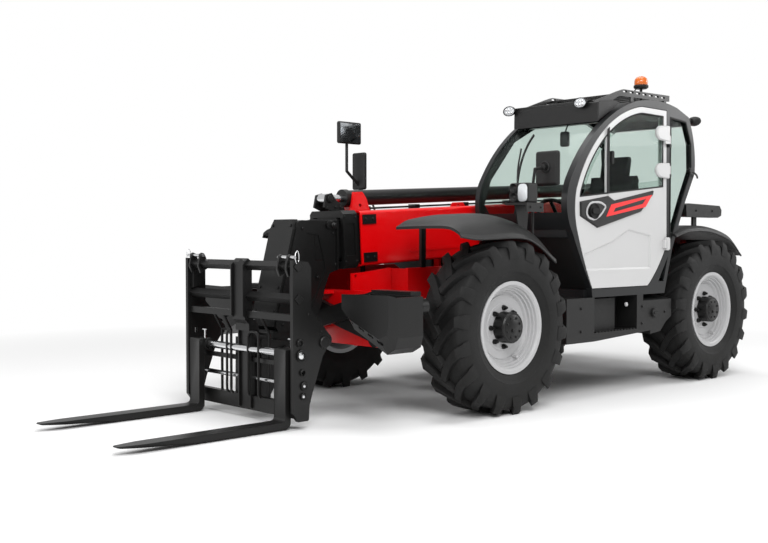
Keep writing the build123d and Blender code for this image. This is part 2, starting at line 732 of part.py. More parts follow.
def cab_frame():
    """Two side frames joined by cross members."""
    left = slab(CAB_START, CAB_OUT, CAB_Y1 - CAB_T, CAB_Y1)
    left = left - grown(DOOR_START, DOOR_OUT, CAB_Y1 - CAB_T - 10, CAB_Y1 + 10, DOOR_GAP)
    left = left - xz(QUARTER, CAB_Y1 - CAB_T - 10, CAB_Y1 + 10)
    left = left - xz(LOW_PANE, CAB_Y1 - CAB_T - 10, CAB_Y1 + 10)
    right = slab(CAB_START, CAB_OUT, CAB_Y0, CAB_Y0 + 45)
    right = right - xz(RIGHT_PANE, CAB_Y0 - 10, CAB_Y0 + 60)
    for z in HINGE_Z:
        for z0 in (z - 60, z + 35 + CLEAR):
            left = left + rod_z(HINGE_X, HINGE_Y, HINGE_R, z0, z0 + 25 - CLEAR)
            left = left + box(HINGE_X - 34, HINGE_X, CAB_Y1 - 3, HINGE_Y, z0, z0 + 25 - CLEAR)
    body = left + right
    for x0, x1, z0, z1 in CROSS_MEMBERS:
        body = body + box(x0, x1, CAB_Y0 + 40, CAB_Y1 - CAB_T + 1, z0, z1)
    return body


FLOOR_Y0 = CAB_Y0 + 45 + CLEAR
FLOOR_Y1 = CAB_Y1 - CAB_T - CLEAR


def cab_floor():
    """Cab floor, front and rear lower walls, seat base and dash."""
    floor = box(-1959.7, -985.3, FLOOR_Y0, FLOOR_Y1, SILL_Z + 1, SILL_Z + 30)
    front = xz(((-1012, 820), (-985.3, 820), (-985.3, 862), (-980, 862), (-842, 1090), (-738, 1269.7),
                (-775, 1269.7), (-872, 1098), (-1012, 872)), FLOOR_Y0, FLOOR_Y1)
    rear = xz(((-1930, 820), (-1959.7, 820), (-1959.7, 862), (-2024, 862), (-2118, 1164), (-2118, 1179.7),
               (-2090, 1179.7), (-1998, 884), (-1930, 884)), FLOOR_Y0, FLOOR_Y1)
    seat_base = box(-1900, -1480, 380, 860, 829, 1100)
    dash = xz(((-780, 1215), (-770, 1269.7), (-790.3, 1269.7), (-790.3, 1400), (-850, 1420), (-904.5, 1318.4),
               (-975.5, 1221.6), (-880, 1150), (-800, 1180)), 480, 760)
    return floor + front + rear + seat_base + dash


def seat():
    """Driver's seat: cushion, back and headrest."""
    body = xz(((-1440, 1112), (-1430, 1185), (-1460, 1205), (-1700, 1175), (-1860, 1185), (-1860, 1112)), 390, 850)
    back = xz(((-1790, 1178), (-1880, 1178), (-1980, 1760), (-1955, 1800), (-1905, 1795), (-1850, 1500)), 400, 840)
    rest = xz(((-1905, 1770), (-1965, 1770), (-2000, 1940), (-1985, 1965), (-1940, 1965)), 490, 750)
    wings = None
    for y in (390, 800):
        wing = xz(((-1800, 1250), (-1740, 1290), (-1840, 1640), (-1900, 1640)), y, y + 50)
        wings = wing if wings is None else wings + wing
    base = box(-1860, -1520, 430, 810, 1100 + CLEAR, 1120)
    return body + back + rest + base + wings


STEER_TOP = (-1150.0, 620.0, 1424.3)
STEER_FOOT = (-940.3, 620.0, 1270.2)


def steering():
    """Steering column with its shroud and wheel."""
    body = bar(STEER_FOOT, STEER_TOP, 30) + bar(STEER_FOOT, (-1045, 620, 1347.2), 48)
    plane = Plane(origin=STEER_TOP, z_dir=Vector(-0.806, 0, 0.592))
    wheel = plane * Torus(185, 16)
    spokes = plane * Box(350, 30, 12) + plane * Cylinder(55, 30)
    return body + wheel + spokes


def shell_band(d0, d1, x0, x1, y0, y1, z0, z1):
    """A strip that follows the cab outline between two depths, cut to a block."""
    outer = grown(CAB_START, CAB_OUT, y0, y1, -d0)
    inner = grown(CAB_START, CAB_OUT, y0 - 1, y1 + 1, -d1)
    return (outer - inner) & box(x0, x1, y0, y1, z0, z1)


GLASS_T = 8.0


def cab_glass():
    """Windscreen, rear pane, right pane and the two left quarter panes."""
    y0 = FLOOR_Y0
    y1 = FLOOR_Y1
    screen = shell_band(12, 12 + GLASS_T, -1229.7, -600, y0, y1, COWL_Z + CLEAR, 2260)
    rear = shell_band(12, 12 + GLASS_T, -2520, -2100, y0, y1, 1240.3, 2229.7)
    right = pane(RIGHT_PANE, CAB_Y0 + 18, CAB_Y0 + 18 + GLASS_T)
    quarter = pane(QUARTER, CAB_Y1 - 25, CAB_Y1 - 25 + GLASS_T)
    low = pane(LOW_PANE, CAB_Y1 - 25, CAB_Y1 - 25 + GLASS_T)
    return [screen, rear, right, quarter, low]


def cab_roof():
    """Roof panel between the side frames."""
    return shell_band(6, 34, -2310, -1290, CAB_Y0 + 44, CAB_Y1 - CAB_T + 1, 2200, 2420)


put("cab_floor", cab_floor())
put("seat", seat())
put("steering_column", steering())
put("cab_glass", cab_glass())
put("cab_cowl", shell_band(4, 26, -780, -600, FLOOR_Y0, FLOOR_Y1, 1330 + CLEAR, COWL_Z))
put("cab_frame", cab_frame() + cab_roof())
cab_room = grown(CAB_START, CAB_OUT, CAB_Y0 - 10, CAB_Y1 + 8, 8.0)
put("fenders", [front_fender(1), front_fender(-1), rear_fender(1) - cab_room, rear_fender(-1)])

GUARD_RAIL = (         # side rail of the roof guard, x z
    (-1150.0, 2318.0), (-1150.0, 2352.0), (-1480.0, 2462.0), (-1560.0, 2485.0), (-2250.0, 2495.0),
    (-2250.0, 2445.0), (-1490.0, 2425.0), (-1330.0, 2345.0), (-1282.0, 2330.0),
)
GUARD_Y = (215.0, 945.0)
BROW_X = (-1165.0, -1120.0)
SLAT_Z = 2449.0


def above_roof(shape):
    """Trim what stands on the roof so that it seats on the roof's skin."""
    return shape - grown(CAB_START, CAB_OUT, CAB_Y0 - 50, CAB_Y1 + 50, -6 + CLEAR)


def roof_guard():
    """Slatted guard over the roof, its slotted side rails and the lamp bar at the brow."""
    body = None
    for y in GUARD_Y:
        rail = xz(GUARD_RAIL, y, y + 20)
        for i in range(7):
            x = -2170 + i * 95
            rail = rail - (box(x, x + 50, y - 5, y + 25, 2462, 2478) + rod_y(x, 2470, 8, y - 5, y + 25))
        body = rail if body is None else body + rail
    for i in range(8):
        x = -2240 + i * 95
        body = body + box(x, x + 26, GUARD_Y[0], GUARD_Y[1] + 20, SLAT_Z - 4, SLAT_Z + 8)
    posts = None
    for x in (-1330, -1700, -2200):
        for y in GUARD_Y:
            p = box(x, x + 36, y, y + 20, 2200, 2360 if x > -1400 else SLAT_Z)
            posts = p if posts is None else posts + p
    brow = box(BROW_X[0], BROW_X[1], 100, 930, 2318, 2362)
    brow = fillet(brow.edges().filter_by(Axis.Y), 8)
    return above_roof(body + posts + brow + box(BROW_X[0], BROW_X[0] + 30, 920, 965, 2318, 2362))


LAMP_LONG = 45.0
LAMP_RIM = 10.0        # straight part behind the rim
LAMP_WELL = 6.0        # depth of the lens seat
LENS_W = 60.0          # half width and half height of a lens
LENS_H = 38.0


def ellipse_lamp(x, y, z, facing):
    """Lamp: an oval can whose front rim faces along X at x."""
    ways = Vector(facing, 0, 0)
    face = Plane(origin=(x - facing * LAMP_RIM, y, z), z_dir=ways) * Ellipse(65, 42)
    small = Plane(origin=(x - facing * LAMP_LONG, y, z), z_dir=ways) * Ellipse(35, 24)
    well = Plane(origin=(x - facing * LAMP_WELL, y, z), z_dir=ways) * Ellipse(LENS_W, LENS_H)
    can = loft([small, face]) + extrude(face, amount=LAMP_RIM, dir=ways)
    return can - extrude(well, amount=LAMP_RIM, dir=ways)


WORK_LAMPS = (         # x of the rim, y, z, facing
    (BROW_X[1] + LAMP_LONG + CLEAR, 150.0, 2340.0, 1),
    (BROW_X[1] + LAMP_LONG + CLEAR, 880.0, 2340.0, 1),
    (-2455.0, 1040.0, 2330.0, -1),
)


def work_lamps():
    """Two oval front work lamps and one at the rear on a stalk."""
    rows = [ellipse_lamp(*row) for row in WORK_LAMPS]
    x, y, z, _ = WORK_LAMPS[-1]
    stalk = box(x + 15, -2300, y - 10, y + 10, z - 24, z + 10)
    rows[-1] = rows[-1] + (stalk - grown(CAB_START, CAB_OUT, 900, 1100, CLEAR))
    return rows


BEACON_X = -1910.0
BEACON_Y = 900.0
BEACON_Z = 2528.0
DOME = (               # height over the foot, radius
    (0.0, 0.1), (0.0, 46.0), (18.0, 46.0), (22.0, 42.0), (48.0, 40.0), (70.0, 32.0), (82.0, 16.0), (85.0, 0.1),
)


def beacon():
    """Beacon lens: a ribbed dome."""
    rows = [(BEACON_X + r, BEACON_Y, BEACON_Z + 30 + CLEAR + h) for h, r in DOME]
    return revolve(make_face(Polyline(*rows, close=True)), axis=Axis((BEACON_X, BEACON_Y, 0), (0, 0, 1)))


def beacon_base():
    """Stem and foot of the beacon on the cab roof."""
    stem = above_roof(rod_z(BEACON_X, BEACON_Y, 12, 2350, BEACON_Z + 2))
    foot = above_roof(rod_z(BEACON_X, BEACON_Y, 38, 2380, 2412))
    return stem + foot + rod_z(BEACON_X, BEACON_Y, 50, BEACON_Z, BEACON_Z + 30)


put("roof_guard", roof_guard())
put("work_lamps", work_lamps())
put("beacon", beacon())
put("beacon_base", beacon_base())

# ---------------------------------------------------------------------- door
WAIST = ((-600.0, 1558.0), (-2100.0, 1704.0))   # lower edge of the door's window
DIVIDER_X = -1165.0


def door_window(d):
    """Window outline of the door, shrunk by d."""
    f = make_face(outline(DOOR_START, DOOR_OUT, 0))
    g = offset(f, amount=-(46.0 + d))
    (xa, za), (xb, zb) = WAIST
    cut = make_face(Polyline((xa, 0, za + d), (xb, 0, zb + d), (xb, 0, 2600), (xa, 0, 2600), close=True))
    return g & cut


def spread(points, d):
    """The outline of a few points made larger by d, as a face in the XZ plane."""
    f = make_face(Polyline(*[(p[0], 0, p[1]) for p in points], close=True))
    return offset(f, amount=d, kind=Kind.INTERSECTION) if d else f


PRESSING = ((-905.0, 1010.0), (-868.0, 1142.0), (-1234.0, 1239.0), (-1475.0, 1338.0), (-1800.0, 1290.0),
            (-1800.0, 1010.0))


def door_panel():
    """Cab door: outer skin with its window opening, pressed lower panel and hinge knuckles."""
    body = slab(DOOR_START, DOOR_OUT, CAB_Y1 - DOOR_T, CAB_Y1)
    hole = extrude(Pos(0, CAB_Y1 - DOOR_T - 5, 0) * door_window(0), amount=DOOR_T + 10, dir=(0, 1, 0))
    body = body - hole
    wide = Pos(0, CAB_Y1 + 1, 0) * spread(PRESSING, 0)
    deep = Pos(0, CAB_Y1 - 12, 0) * spread(PRESSING, -16)
    body = body - loft([deep, wide], ruled=True)
    glass_face = CAB_Y1 - 22 + GLASS_T + CLEAR
    divider = box(DIVIDER_X - 12, DIVIDER_X + 12, glass_face, CAB_Y1 - 3, 1580, 2300)
    body = body + (divider & slab(DOOR_START, DOOR_OUT, CAB_Y1 - DOOR_T, CAB_Y1))
    for z in HINGE_Z:
        body = body + box(HINGE_X, HINGE_X + 70, CAB_Y1 + 2, HINGE_Y + 8, z - 35, z + 35)
        body = body + box(HINGE_X + 35, HINGE_X + 70, CAB_Y1 - 2, HINGE_Y + 8, z - 35, z + 35)
        body = body + rod_z(HINGE_X, HINGE_Y, HINGE_R, z - 35, z + 35)
    return body


def door_glass():
    """Glass of the door."""
    y = CAB_Y1 - 22
    return extrude(Pos(0, y, 0) * door_window(CLEAR), amount=GLASS_T, dir=(0, 1, 0))


TRIM = ((-808.0, 1544.0), (-812.0, 1433.0), (-1039.0, 1343.0), (-1635.0, 1478.0), (-1810.0, 1622.0),
        (-1825.0, 1660.0), (-1265.0, 1563.0), (-1183.0, 1598.0))
HANDLE = (-955.0, 1462.0, 50.0)


def door_trim():
    """Dark panel below the door's window with the round well and paddle of the handle."""
    y = CAB_Y1 + CLEAR
    low = Pos(0, y, 0) * spread(TRIM, 0)
    high = Pos(0, y + 14, 0) * spread(TRIM, -8)
    x, z, r = HANDLE
    body = loft([low, high], ruled=True) - rod_y(x, z, r, y + 5, y + 20)
    paddle = box(x - 16, x + 30, y + 4, y + 13, z - 18, z + 18)
    return body + paddle


put("door_panel", door_panel())
put("door_glass", door_glass())
put("door_trim", door_trim())

# ----------------------------------------------------------- lamps, mirrors
def on_fender(shape, side):
    """Trim what stands on a front fender so that it seats on its skin."""
    return shape - fender(FRONT_FENDER, side, 500.0, CLEAR)


LAMP_X = (-320.0, -195.0)
LAMP_Y = (897.0, 1068.0)
LAMP_Z = (1521.0, 1669.0)
LAMP_EYES = ((945.0, 1562.0, 30.0), (945.0, 1629.0, 30.0))   # y, z, radius
LAMP_PANEL = (985.0, 1058.0, 1535.0, 1655.0)                 # y0, y1, z0, z1


def mirrored(shape, side):
    """The shape itself on the left, its mirror image on the right."""
    return shape if side > 0 else shape.mirror(Plane.XZ)


def head_lamp():
    """Left head lamp: rounded housing with its wells, bracket plate and post."""
    x0, x1 = LAMP_X
    body = soft_box(x0, x1, LAMP_Y[0], LAMP_Y[1], LAMP_Z[0], LAMP_Z[1], 16)
    for y, z, r in LAMP_EYES:
        body = body - rod_x(y, z, r + CLEAR, x1 - 14, x1 + 5)
    y0, y1, z0, z1 = LAMP_PANEL
    body = body - box(x1 - 10, x1 + 5, y0 - CLEAR, y1 + CLEAR, z0 - CLEAR, z1 + CLEAR)
    top = LAMP_Z[0]
    plate = box(x0 - 40, x1 + 30, LAMP_Y[0] - 20, LAMP_Y[1] + 20, top - 14, top + 2)
    lip = box(x0 - 40, x1 + 30, LAMP_Y[1] + 8, LAMP_Y[1] + 20, top - 66, top)
    brace = xz(((x0 + 20, 1180), (x0 + 70, 1180), (x1 + 10, top - 10), (x0 - 20, top - 10)), 955, 967)
    return body + plate + lip + brace


def head_lamps():
    """Head lamps over the front fenders."""
    return [on_fender(mirrored(head_lamp(), s), s) for s in (1, -1)]


def lamp_lenses():
    """Round lights and the flat side light of each head lamp, and the lens of each work lamp."""
    rows = []
    x1 = LAMP_X[1]
    for s in (1, -1):
        for y, z, r in LAMP_EYES:
            rows.append(mirrored(rod_x(y, z, r, x1 - 14 + CLEAR, x1 - 2), s))
        y0, y1, z0, z1 = LAMP_PANEL
        rows.append(mirrored(box(x1 - 10 + CLEAR, x1 - 1, y0, y1, z0, z1), s))
    for x, y, z, facing in WORK_LAMPS:
        seat_x = x - facing * (LAMP_WELL - CLEAR)
        lens = Plane(origin=(seat_x, y, z), z_dir=(facing, 0, 0)) * Ellipse(LENS_W - CLEAR, LENS_H - CLEAR)
        rows.append(extrude(lens, amount=LAMP_WELL, dir=(facing, 0, 0)))
    return rows


def mirror_left():
    """Left mirror: rounded housing on a bent arm from the fender."""
    head = soft_box(-530, -482, 905, 1118, 1656, 1917, 22)
    glass_well = box(-540, -524, 920, 1103, 1675, 1898)
    arm = bent_bar(((-385, 965, 1100), (-385, 965, 1654), (-385, 985, 1778), (-500, 1005, 1795)), 11)
    return on_fender(arm, 1) + (head - glass_well) + rod_x(1005, 1795, 24, -500, -450)


def mirrors_right():
    """Right mirrors, one above the other on a post."""
    post = bent_bar(((-385, -975, 1100), (-385, -975, 1720), (-255, -1000, 1850), (-255, -1000, 2180)), 13)
    post = on_fender(post, -1) + rod_y(-255, 2180, 20, -1012, -970)
    upper = soft_box(-382, -122, -985, -945, 2084, 2275, 16) - box(-368, -136, -950, -930, 2098, 2261)
    lower = soft_box(-405, -365, -1060, -895, 1690, 2016, 18) - box(-415, -399, -1046, -909, 1706, 2000)
    return post + upper + lower


def mirror_glass():
    """Panes of the three mirrors."""
    rows = [box(-531, -524 - CLEAR, 920 + CLEAR, 1103 - CLEAR, 1675 + CLEAR, 1898 - CLEAR)]
    rows.append(box(-368 + CLEAR, -136 - CLEAR, -950 + CLEAR, -944, 2098 + CLEAR, 2261 - CLEAR))
    rows.append(box(-406, -399 - CLEAR, -1046 + CLEAR, -909 - CLEAR, 1706 + CLEAR, 2000 - CLEAR))
    return rows


REAR_LAMP_LIFT = 200.0     # underside of the casing above the tyre's top


def rear_lamp():
    """Long rear lamp casing on a bracket that stands on the left rear fender."""
    z = AXLE_Z + TYRE_R + REAR_LAMP_LIFT
    side = laid(((-2500, z + 2), (-2490, z + 110), (-2530, z + 122), (-3070, z + 110), (-3105, z + 70),
                 (-3100, z + 20), (-3040, z)))
    casing = xz(side, 905, 995)
    casing = fillet(casing.edges().filter_by(Axis.Y), 8)
    x0 = along(-2760)
    stay = box(x0, x0 + 60, 920, 940, z - 150, z + 10) - fender(REAR_FENDER, 1, 500.0, CLEAR)
    return casing + stay


put("head_lamps", head_lamps())
put("lamp_lenses", lamp_lenses())
put("mirrors", [mirror_left(), mirrors_right()])
put("mirror_glass", mirror_glass())
put("rear_lamp", rear_lamp())

# ---------------------------------------------------------------------- boom
def at_boom(s):
    """Place a piece drawn along the boom line, front end of the tube at 0."""
    return Pos(BOOM_FRONT_X, BOOM_Y, BOOM_FRONT_ZC) * Rot(0, BOOM_DIP, 0) * s


def boom_local(x, z):
    """Boom-line coordinates of a point given in the machine's frame."""
    a = radians(BOOM_DIP)
    dx = x - BOOM_FRONT_X
    dz = z - BOOM_FRONT_ZC
    return dx * cos(a) - dz * sin(a), dx * sin(a) + dz * cos(a)


EXT_R = 60.0
EXT_Z = BOOM_H / 2 + EXT_R + 40   # extension cylinder axis above the boom line
EXT_BORE = 34.0
EXT_ROD = 30.0
EXT_PIN_X = 175.0
PIV_L = boom_local(along(PIVOT_X), PIVOT_Z)
TUBE_L = boom_local(along(BOOM_REAR_X), PIVOT_Z)[0]
TUBE_EDGE = 22.0       # rounding of the outer boom's long edges


def tube(x0, x1, w, h, t, r):
    """A boom section: box tube with rounded long edges."""
    body = box(x0, x1, -w, w, -h, h)
    body = fillet(body.edges().filter_by(Axis.X), r)
    return body - box(x0 - 5, x1 + 5, -w + t, w - t, -h + t, h - t)


def boom_outer():
    """Red outer boom: tube with pressed ribs, rear pivot, top ears and lift ears."""
    h = BOOM_H / 2
    w = BOOM_W / 2
    t = BOOM_WALL
    body = tube(TUBE_L, 0, w, h, t, min(TUBE_EDGE, t + 8))
    body = body + box(TUBE_L, TUBE_L + 20, -w + 2, w - 2, -h + 2, h - 2)
    cheek = xz(((TUBE_L - 5, -h + 8), (TUBE_L + 10, h - 8), (PIV_L[0], PIV_L[1] + 105),
                (PIV_L[0] - 60, PIV_L[1] + 60), (PIV_L[0] - 60, PIV_L[1] - 60)), -w, w)
    body = body + cheek + rod_y(PIV_L[0], PIV_L[1], 105, -w, w)
    body = body - rod_y(PIV_L[0], PIV_L[1], PIVOT_R + 0.5, -w - 5, w + 5)
    body = body + pads(-150, -20, MID_W / 2, MID_H / 2, w - t, h - t)
    for z in (RIB_Z[0], -RIB_Z[0]):
        rib = xz(((TUBE_L + 400, z - RIB_Z[1]), (-520, z - RIB_Z[1]), (-500, z), (-520, z + RIB_Z[1]),
                  (TUBE_L + 400, z + RIB_Z[1]), (TUBE_L + 380, z)), w - 1, w + 5)
        body = body + rib
    for s in (1, -1):
        y0 = min(s * 72, s * 92)
        ear = xz(((-200, h - 1), (-165, h + 96), (-140, EXT_Z + 30), (-125, EXT_Z + 45), (-40, EXT_Z + 45),
                  (-22, h + 60), (0, h - 1)), y0, y0 + 20)
        body = body + (ear - rod_y(-100, h + 42, 14, y0 - 5, y0 + 25))
    for x0, x1 in ((-3260, -3180), (-130, -45)):
        body = body + box(x0, x1, -50, 50, h - 1, EXT_Z - EXT_R - CLEAR)
    eye = xz(((-1290, h - 1), (-1260, h + 34), (-1150, h + 34), (-1120, h - 1)), 64, 84)
    eye = eye - rod_y(-1205, h + 8, 12, 60, 90)
    return at_boom(body + eye) + lift_ears()


RIB_Z = (118.0, 13.0)  # height of a pressed rib off the boom line and half its width


def wear_plates():
    """Dark corner plates that hold the wear pads at the mouth of the outer boom."""
    h = BOOM_H / 2
    w = BOOM_W / 2
    rows = []
    for s in (1, -1):
        for k in (1, -1):
            y0 = s * (w + CLEAR)
            z0 = k * (h - 28)
            plate = box(-150, -18, y0, y0 + s * 12, z0, z0 - k * 72)
            for x in (-120, -48):
                plate = plate + rod_y(x, z0 - k * 36, 11, y0, y0 + s * 18)
            rows.append(at_boom(plate))
    return rows


def pads(x0, x1, wi, hi, wo, ho):
    """Wear pads round a sliding section, between its size and the bore outside it."""
    g = 0.5
    rows = None
    for s in (1, -1):
        side = box(x0, x1, min(s * (wi + g), s * (wo + 1)), max(s * (wi + g), s * (wo + 1)), -hi + 30, hi - 30)
        top = box(x0, x1, -wi + 30, wi - 30, min(s * (hi + g), s * (ho + 1)), max(s * (hi + g), s * (ho + 1)))
        rows = side + top if rows is None else rows + side + top
    return rows


def lift_ears():
    """Ears below the boom for the lift cylinder's rod end."""
    x, z = LIFT_BX, LIFT_BZ
    rise = sin(radians(BOOM_DIP))
    under = [BOOM_FRONT_ZC + (BOOM_FRONT_X - q) * rise - BOOM_H / 2 + 12 for q in (x - 190, x + 190)]
    rows = None
    for dy in (-84, 60):
        y = BOOM_Y + dy
        ear = xz(((x - 190, under[0]), (x - 60, z - 40), (x + 60, z - 40), (x + 190, under[1])), y, y + 24)
        boss = rod_y(x, z, 50, y + (0 if dy > 0 else -12), y + (36 if dy > 0 else 24))
        rows = ear + boss if rows is None else rows + ear + boss
    return rows


def extension_barrel():
    """Barrel of the extension cylinder, lying on the boom."""
    body = rod_x(0, EXT_Z, EXT_R, -3290, -5) + rod_x(0, EXT_Z, EXT_R + 8, -40, 5)
    body = body + rod_x(0, EXT_Z, EXT_R + 6, -3296, -3262)
    return at_boom(body - rod_x(0, EXT_Z, EXT_BORE, -3260, -60) - rod_x(0, EXT_Z, EXT_ROD + CLEAR, -65, 20))


MID_LONG = 3420.0
IN_LONG = 3300.0
COLLAR_X = (30.0, 165.0)
COLLAR_Y = 194.0
COLLAR_Z = 216.0


def boom_middle():
    """Second boom section with its front collar and rod bracket."""
    w = MID_W / 2
    h = MID_H / 2
    t = BOOM_WALL
    collar = box(COLLAR_X[0], COLLAR_X[1], -COLLAR_Y, COLLAR_Y, -COLLAR_Z, COLLAR_Z)
    collar = chamfer(collar.edges().filter_by(Axis.X), 26)
    body = collar - box(COLLAR_X[0] - 5, COLLAR_X[1] + 5, -w + t, w - t, -h + t, h - t)
    body = body + tube(-MID_LONG, COLLAR_X[1], w, h, t, 16)
    body = body - box(COLLAR_X[0] + 25, COLLAR_X[1] - 25, -COLLAR_Y - 5, -COLLAR_Y + 10, -120, 120)
    body = body - box(COLLAR_X[0] + 25, COLLAR_X[1] - 25, COLLAR_Y - 10, COLLAR_Y + 5, -120, 120)
    body = body + pads(40, 160, IN_W / 2, IN_H / 2, w - t, h - t)
    for s in (1, -1):
        y0 = min(s * 48, s * 66)
        plate = xz(((35, COLLAR_Z - 1), (COLLAR_X[1], COLLAR_Z - 1), (EXT_PIN_X + 60, COLLAR_Z + 30),
                    (EXT_PIN_X + 35, EXT_Z + 30), (EXT_PIN_X - 20, EXT_Z + 42), (EXT_PIN_X - 60, EXT_Z - 10),
                    (35, COLLAR_Z + 14)), y0, y0 + 18)
        body = body + plate
    return at_boom(body)


def extension_rod():
    """Chrome rod of the extension cylinder with its eye and pin."""
    body = rod_x(0, EXT_Z, EXT_ROD, -3200, EXT_PIN_X) + rod_y(EXT_PIN_X, EXT_Z, 38, -44, 44)
    return at_boom(body)


HEAD_START = (716.0, 1388.0)
HEAD_OUT = (           # side outline of the boom head
    ("l", (1050.0, 1394.0)),
    ("a", (1084.0, 1380.0), (1098.0, 1348.0)),
    ("l", (1292.0, 640.0)),
    ("l", (1262.0, 602.0)),
    ("l", (985.0, 602.0)),
    ("a", (882.0, 760.0), (840.0, 900.0)),
    ("l", (792.0, 1005.0)),
    ("l", (716.0, 1030.0)),
)
TILT_HALF = 120.0      # half width of the lobe between the carriage's ears
HEAD_PRESSING = ((830, 1040), (900, 1290), (1010, 1300), (1150, 720), (1010, 670), (900, 880))
PRESS_T = 8.0


def boom_inner():
    """Innermost section with the gooseneck head and the tilt pivot."""
    w = IN_W / 2
    h = IN_H / 2
    t = BOOM_WALL
    sleeve = at_boom(tube(-IN_LONG, 400, w, h, t, 14))
    sleeve = sleeve + at_boom(box(190, 400, -w + t - 1, w - t + 1, -h + t - 1, h - t + 1))
    y0 = BOOM_Y - HEAD_HALF
    y1 = BOOM_Y + HEAD_HALF
    head = slab(HEAD_START, HEAD_OUT, y0, y1)
    head = head - xz(HEAD_PRESSING, y1 - PRESS_T, y1 + 5) - xz(HEAD_PRESSING, y0 - 5, y0 + PRESS_T)
    front = yz(((y0 + 10, 1330), (y0 + 40, 1400), (y1 - 40, 1400), (y1 - 10, 1330), (y1 - 10, 640), (y0 + 10, 640)),
               1000, 1320) & xz(((1060, 1405), (1110, 1400), (1310, 640), (1290, 640)), y0 - 20, y1 + 20)
    boss = None
    for ya, yb in ((y0 - 16, y0 + 1), (y1 - 1, y1 + 16)):
        oval = rod_y(742, 1360, 26, ya, yb) + rod_y(806, 1360, 26, ya, yb) + box(742, 806, ya, yb, 1334, 1386)
        boss = oval if boss is None else boss + oval
    rib = xz(((716, 1030), (735, 1030), (735, 1408), (716, 1408)), y0 - 14, y1 + 14)
    lobe = xz(((1000, 610), (1290, 610), (1300, 480), (1150, 400)), BOOM_Y - TILT_HALF, BOOM_Y + TILT_HALF)
    body = sleeve + head + front + rib + boss + lobe
    body = body + rod_y(TILT_X, TILT_Z, 90, BOOM_Y - TILT_HALF, BOOM_Y + TILT_HALF)
    body = body + rod_y(TILT_X, TILT_Z, TILT_R, BOOM_Y - 178, BOOM_Y + 178)
    for s in (1, -1):
        body = body + rod_y(TILT_X, TILT_Z, 50, BOOM_Y + s * 170, BOOM_Y + s * 184)
    return body


put("boom_outer", boom_outer())
put("wear_plates", wear_plates())
put("extension_barrel", extension_barrel())
put("boom_middle", boom_middle())
put("extension_rod", extension_rod())
put("boom_inner", boom_inner())

# ------------------------------------------------------------ lift cylinder
LIFT_SLOPE = atan((LIFT_BZ - LIFT_AZ) / (LIFT_BX - LIFT_AX)) * 180 / pi


def at_lift(s):
    """Place a piece drawn along X from the lower pin."""
    return Pos(LIFT_AX, BOOM_Y, LIFT_AZ) * Rot(0, -LIFT_SLOPE, 0) * s


BARREL_LONG = 0.745    # share of the length between the pins


def lift_barrel():
    """Lift cylinder barrel with its lower eye."""
    end = LIFT_LEN * BARREL_LONG
    body = rod_x(0, 0, 60, 75, end - 5) + rod_x(0, 0, 68, end - 65, end) + rod_x(0, 0, 40, 0, 80)
    body = body - rod_x(0, 0, 37, 140, end - 55) - rod_x(0, 0, 35 + CLEAR, end - 60, end + 45)
    body = body + rod_y(0, 0, 52, -44, 44) - rod_y(0, 0, LIFT_PIN_R + 0.4, -50, 50)
    return at_lift(body)


def lift_rod():
    """Lift cylinder rod with its upper eye and stub pin."""
    body = rod_x(0, 0, 35, 200, LIFT_LEN) + rod_y(LIFT_LEN, 0, 42, -44, 44)
    body = body + rod_y(LIFT_LEN, 0, 26, -54, 54)
    return at_lift(body)


put("lift_barrel", lift_barrel())
put("lift_rod", lift_rod())

# --------------------------------------------------------------- stabilisers
CARRIER_X = 860.0      # front of what carries a foot
FOOT_GAP = 8.0
FOOT_PIN_X = 1150.0


def stabiliser(side):
    """Arm from the far side pivot up to the foot pin, side +1 ends on the left."""
    x0, x1 = STAB_X[side]
    py = -side * STAB_PY
    pts = ((-side * 515, 500), (side * 560, 765), (side * 930, 860), (side * 930, 905), (side * 540, 905),
           (-side * 480, 620))
    body = yz(pts, x0, x1) + rod_x(py, STAB_PZ, 62, x0, x1)
    near = x1 - 3 if side > 0 else x0
    body = body + yz(((side * 545, 770), (side * 935, 770), (side * 935, 905), (side * 545, 905)), near, CARRIER_X)
    near = x1 - 3 if side > 0 else x0 + 60
    body = body + rod_x(side * FOOT_Y, FOOT_Z, 55, near, CARRIER_X)
    cheek = ((side * 900, 780), (side * FOOT_Y, FOOT_Z - 40), (side * FOOT_Y, FOOT_Z + 40), (side * 900, 900))
    body = body + yz(cheek, near, CARRIER_X)
    body = body - rod_x(py, STAB_PZ, STAB_R + 0.5, x0 - 5, x1 + 5)
    body = body - yz(((side * 620, 800), (side * 700, 800), (side * 700, 880), (side * 620, 880)), CARRIER_X - 12,
                     CARRIER_X + 5)
    return body + rod_x(side * FOOT_Y, FOOT_Z, 28, CARRIER_X - 10, FOOT_PIN_X)


FOOT_X = (CARRIER_X + FOOT_GAP, 1100.0, 1180.0)
FOOT_BACK = ((566, 880), (1060, 880), (1062, 620), (1040, 545), (965, 505), (640, 650), (566, 760))
FOOT_FRONT = ((600, 890), (1058, 898), (1060, 700), (1040, 640), (965, 612), (690, 720), (600, 790))
FOOT_HOLES = ((770.0, 640.0), (855.0, 600.0), (940.0, 562.0))   # y, z of the ovals in the lower front band
FOOT_WALL = 16.0


def foot_shell(side, d):
    """Body of a foot, d inside its skin: straight at the back, turned up at the front."""
    faces = []
    rows = ((FOOT_X[0] + d, FOOT_BACK), (FOOT_X[1], FOOT_BACK), (FOOT_X[2] - d, FOOT_FRONT))
    for x, pts in rows:
        f = make_face(Polyline(*[(x, side * p[0], p[1]) for p in pts], close=True))
        faces.append(offset(f, amount=-d, kind=Kind.INTERSECTION) if d else f)
    return loft(faces[:2], ruled=True) + loft(faces[1:], ruled=True)


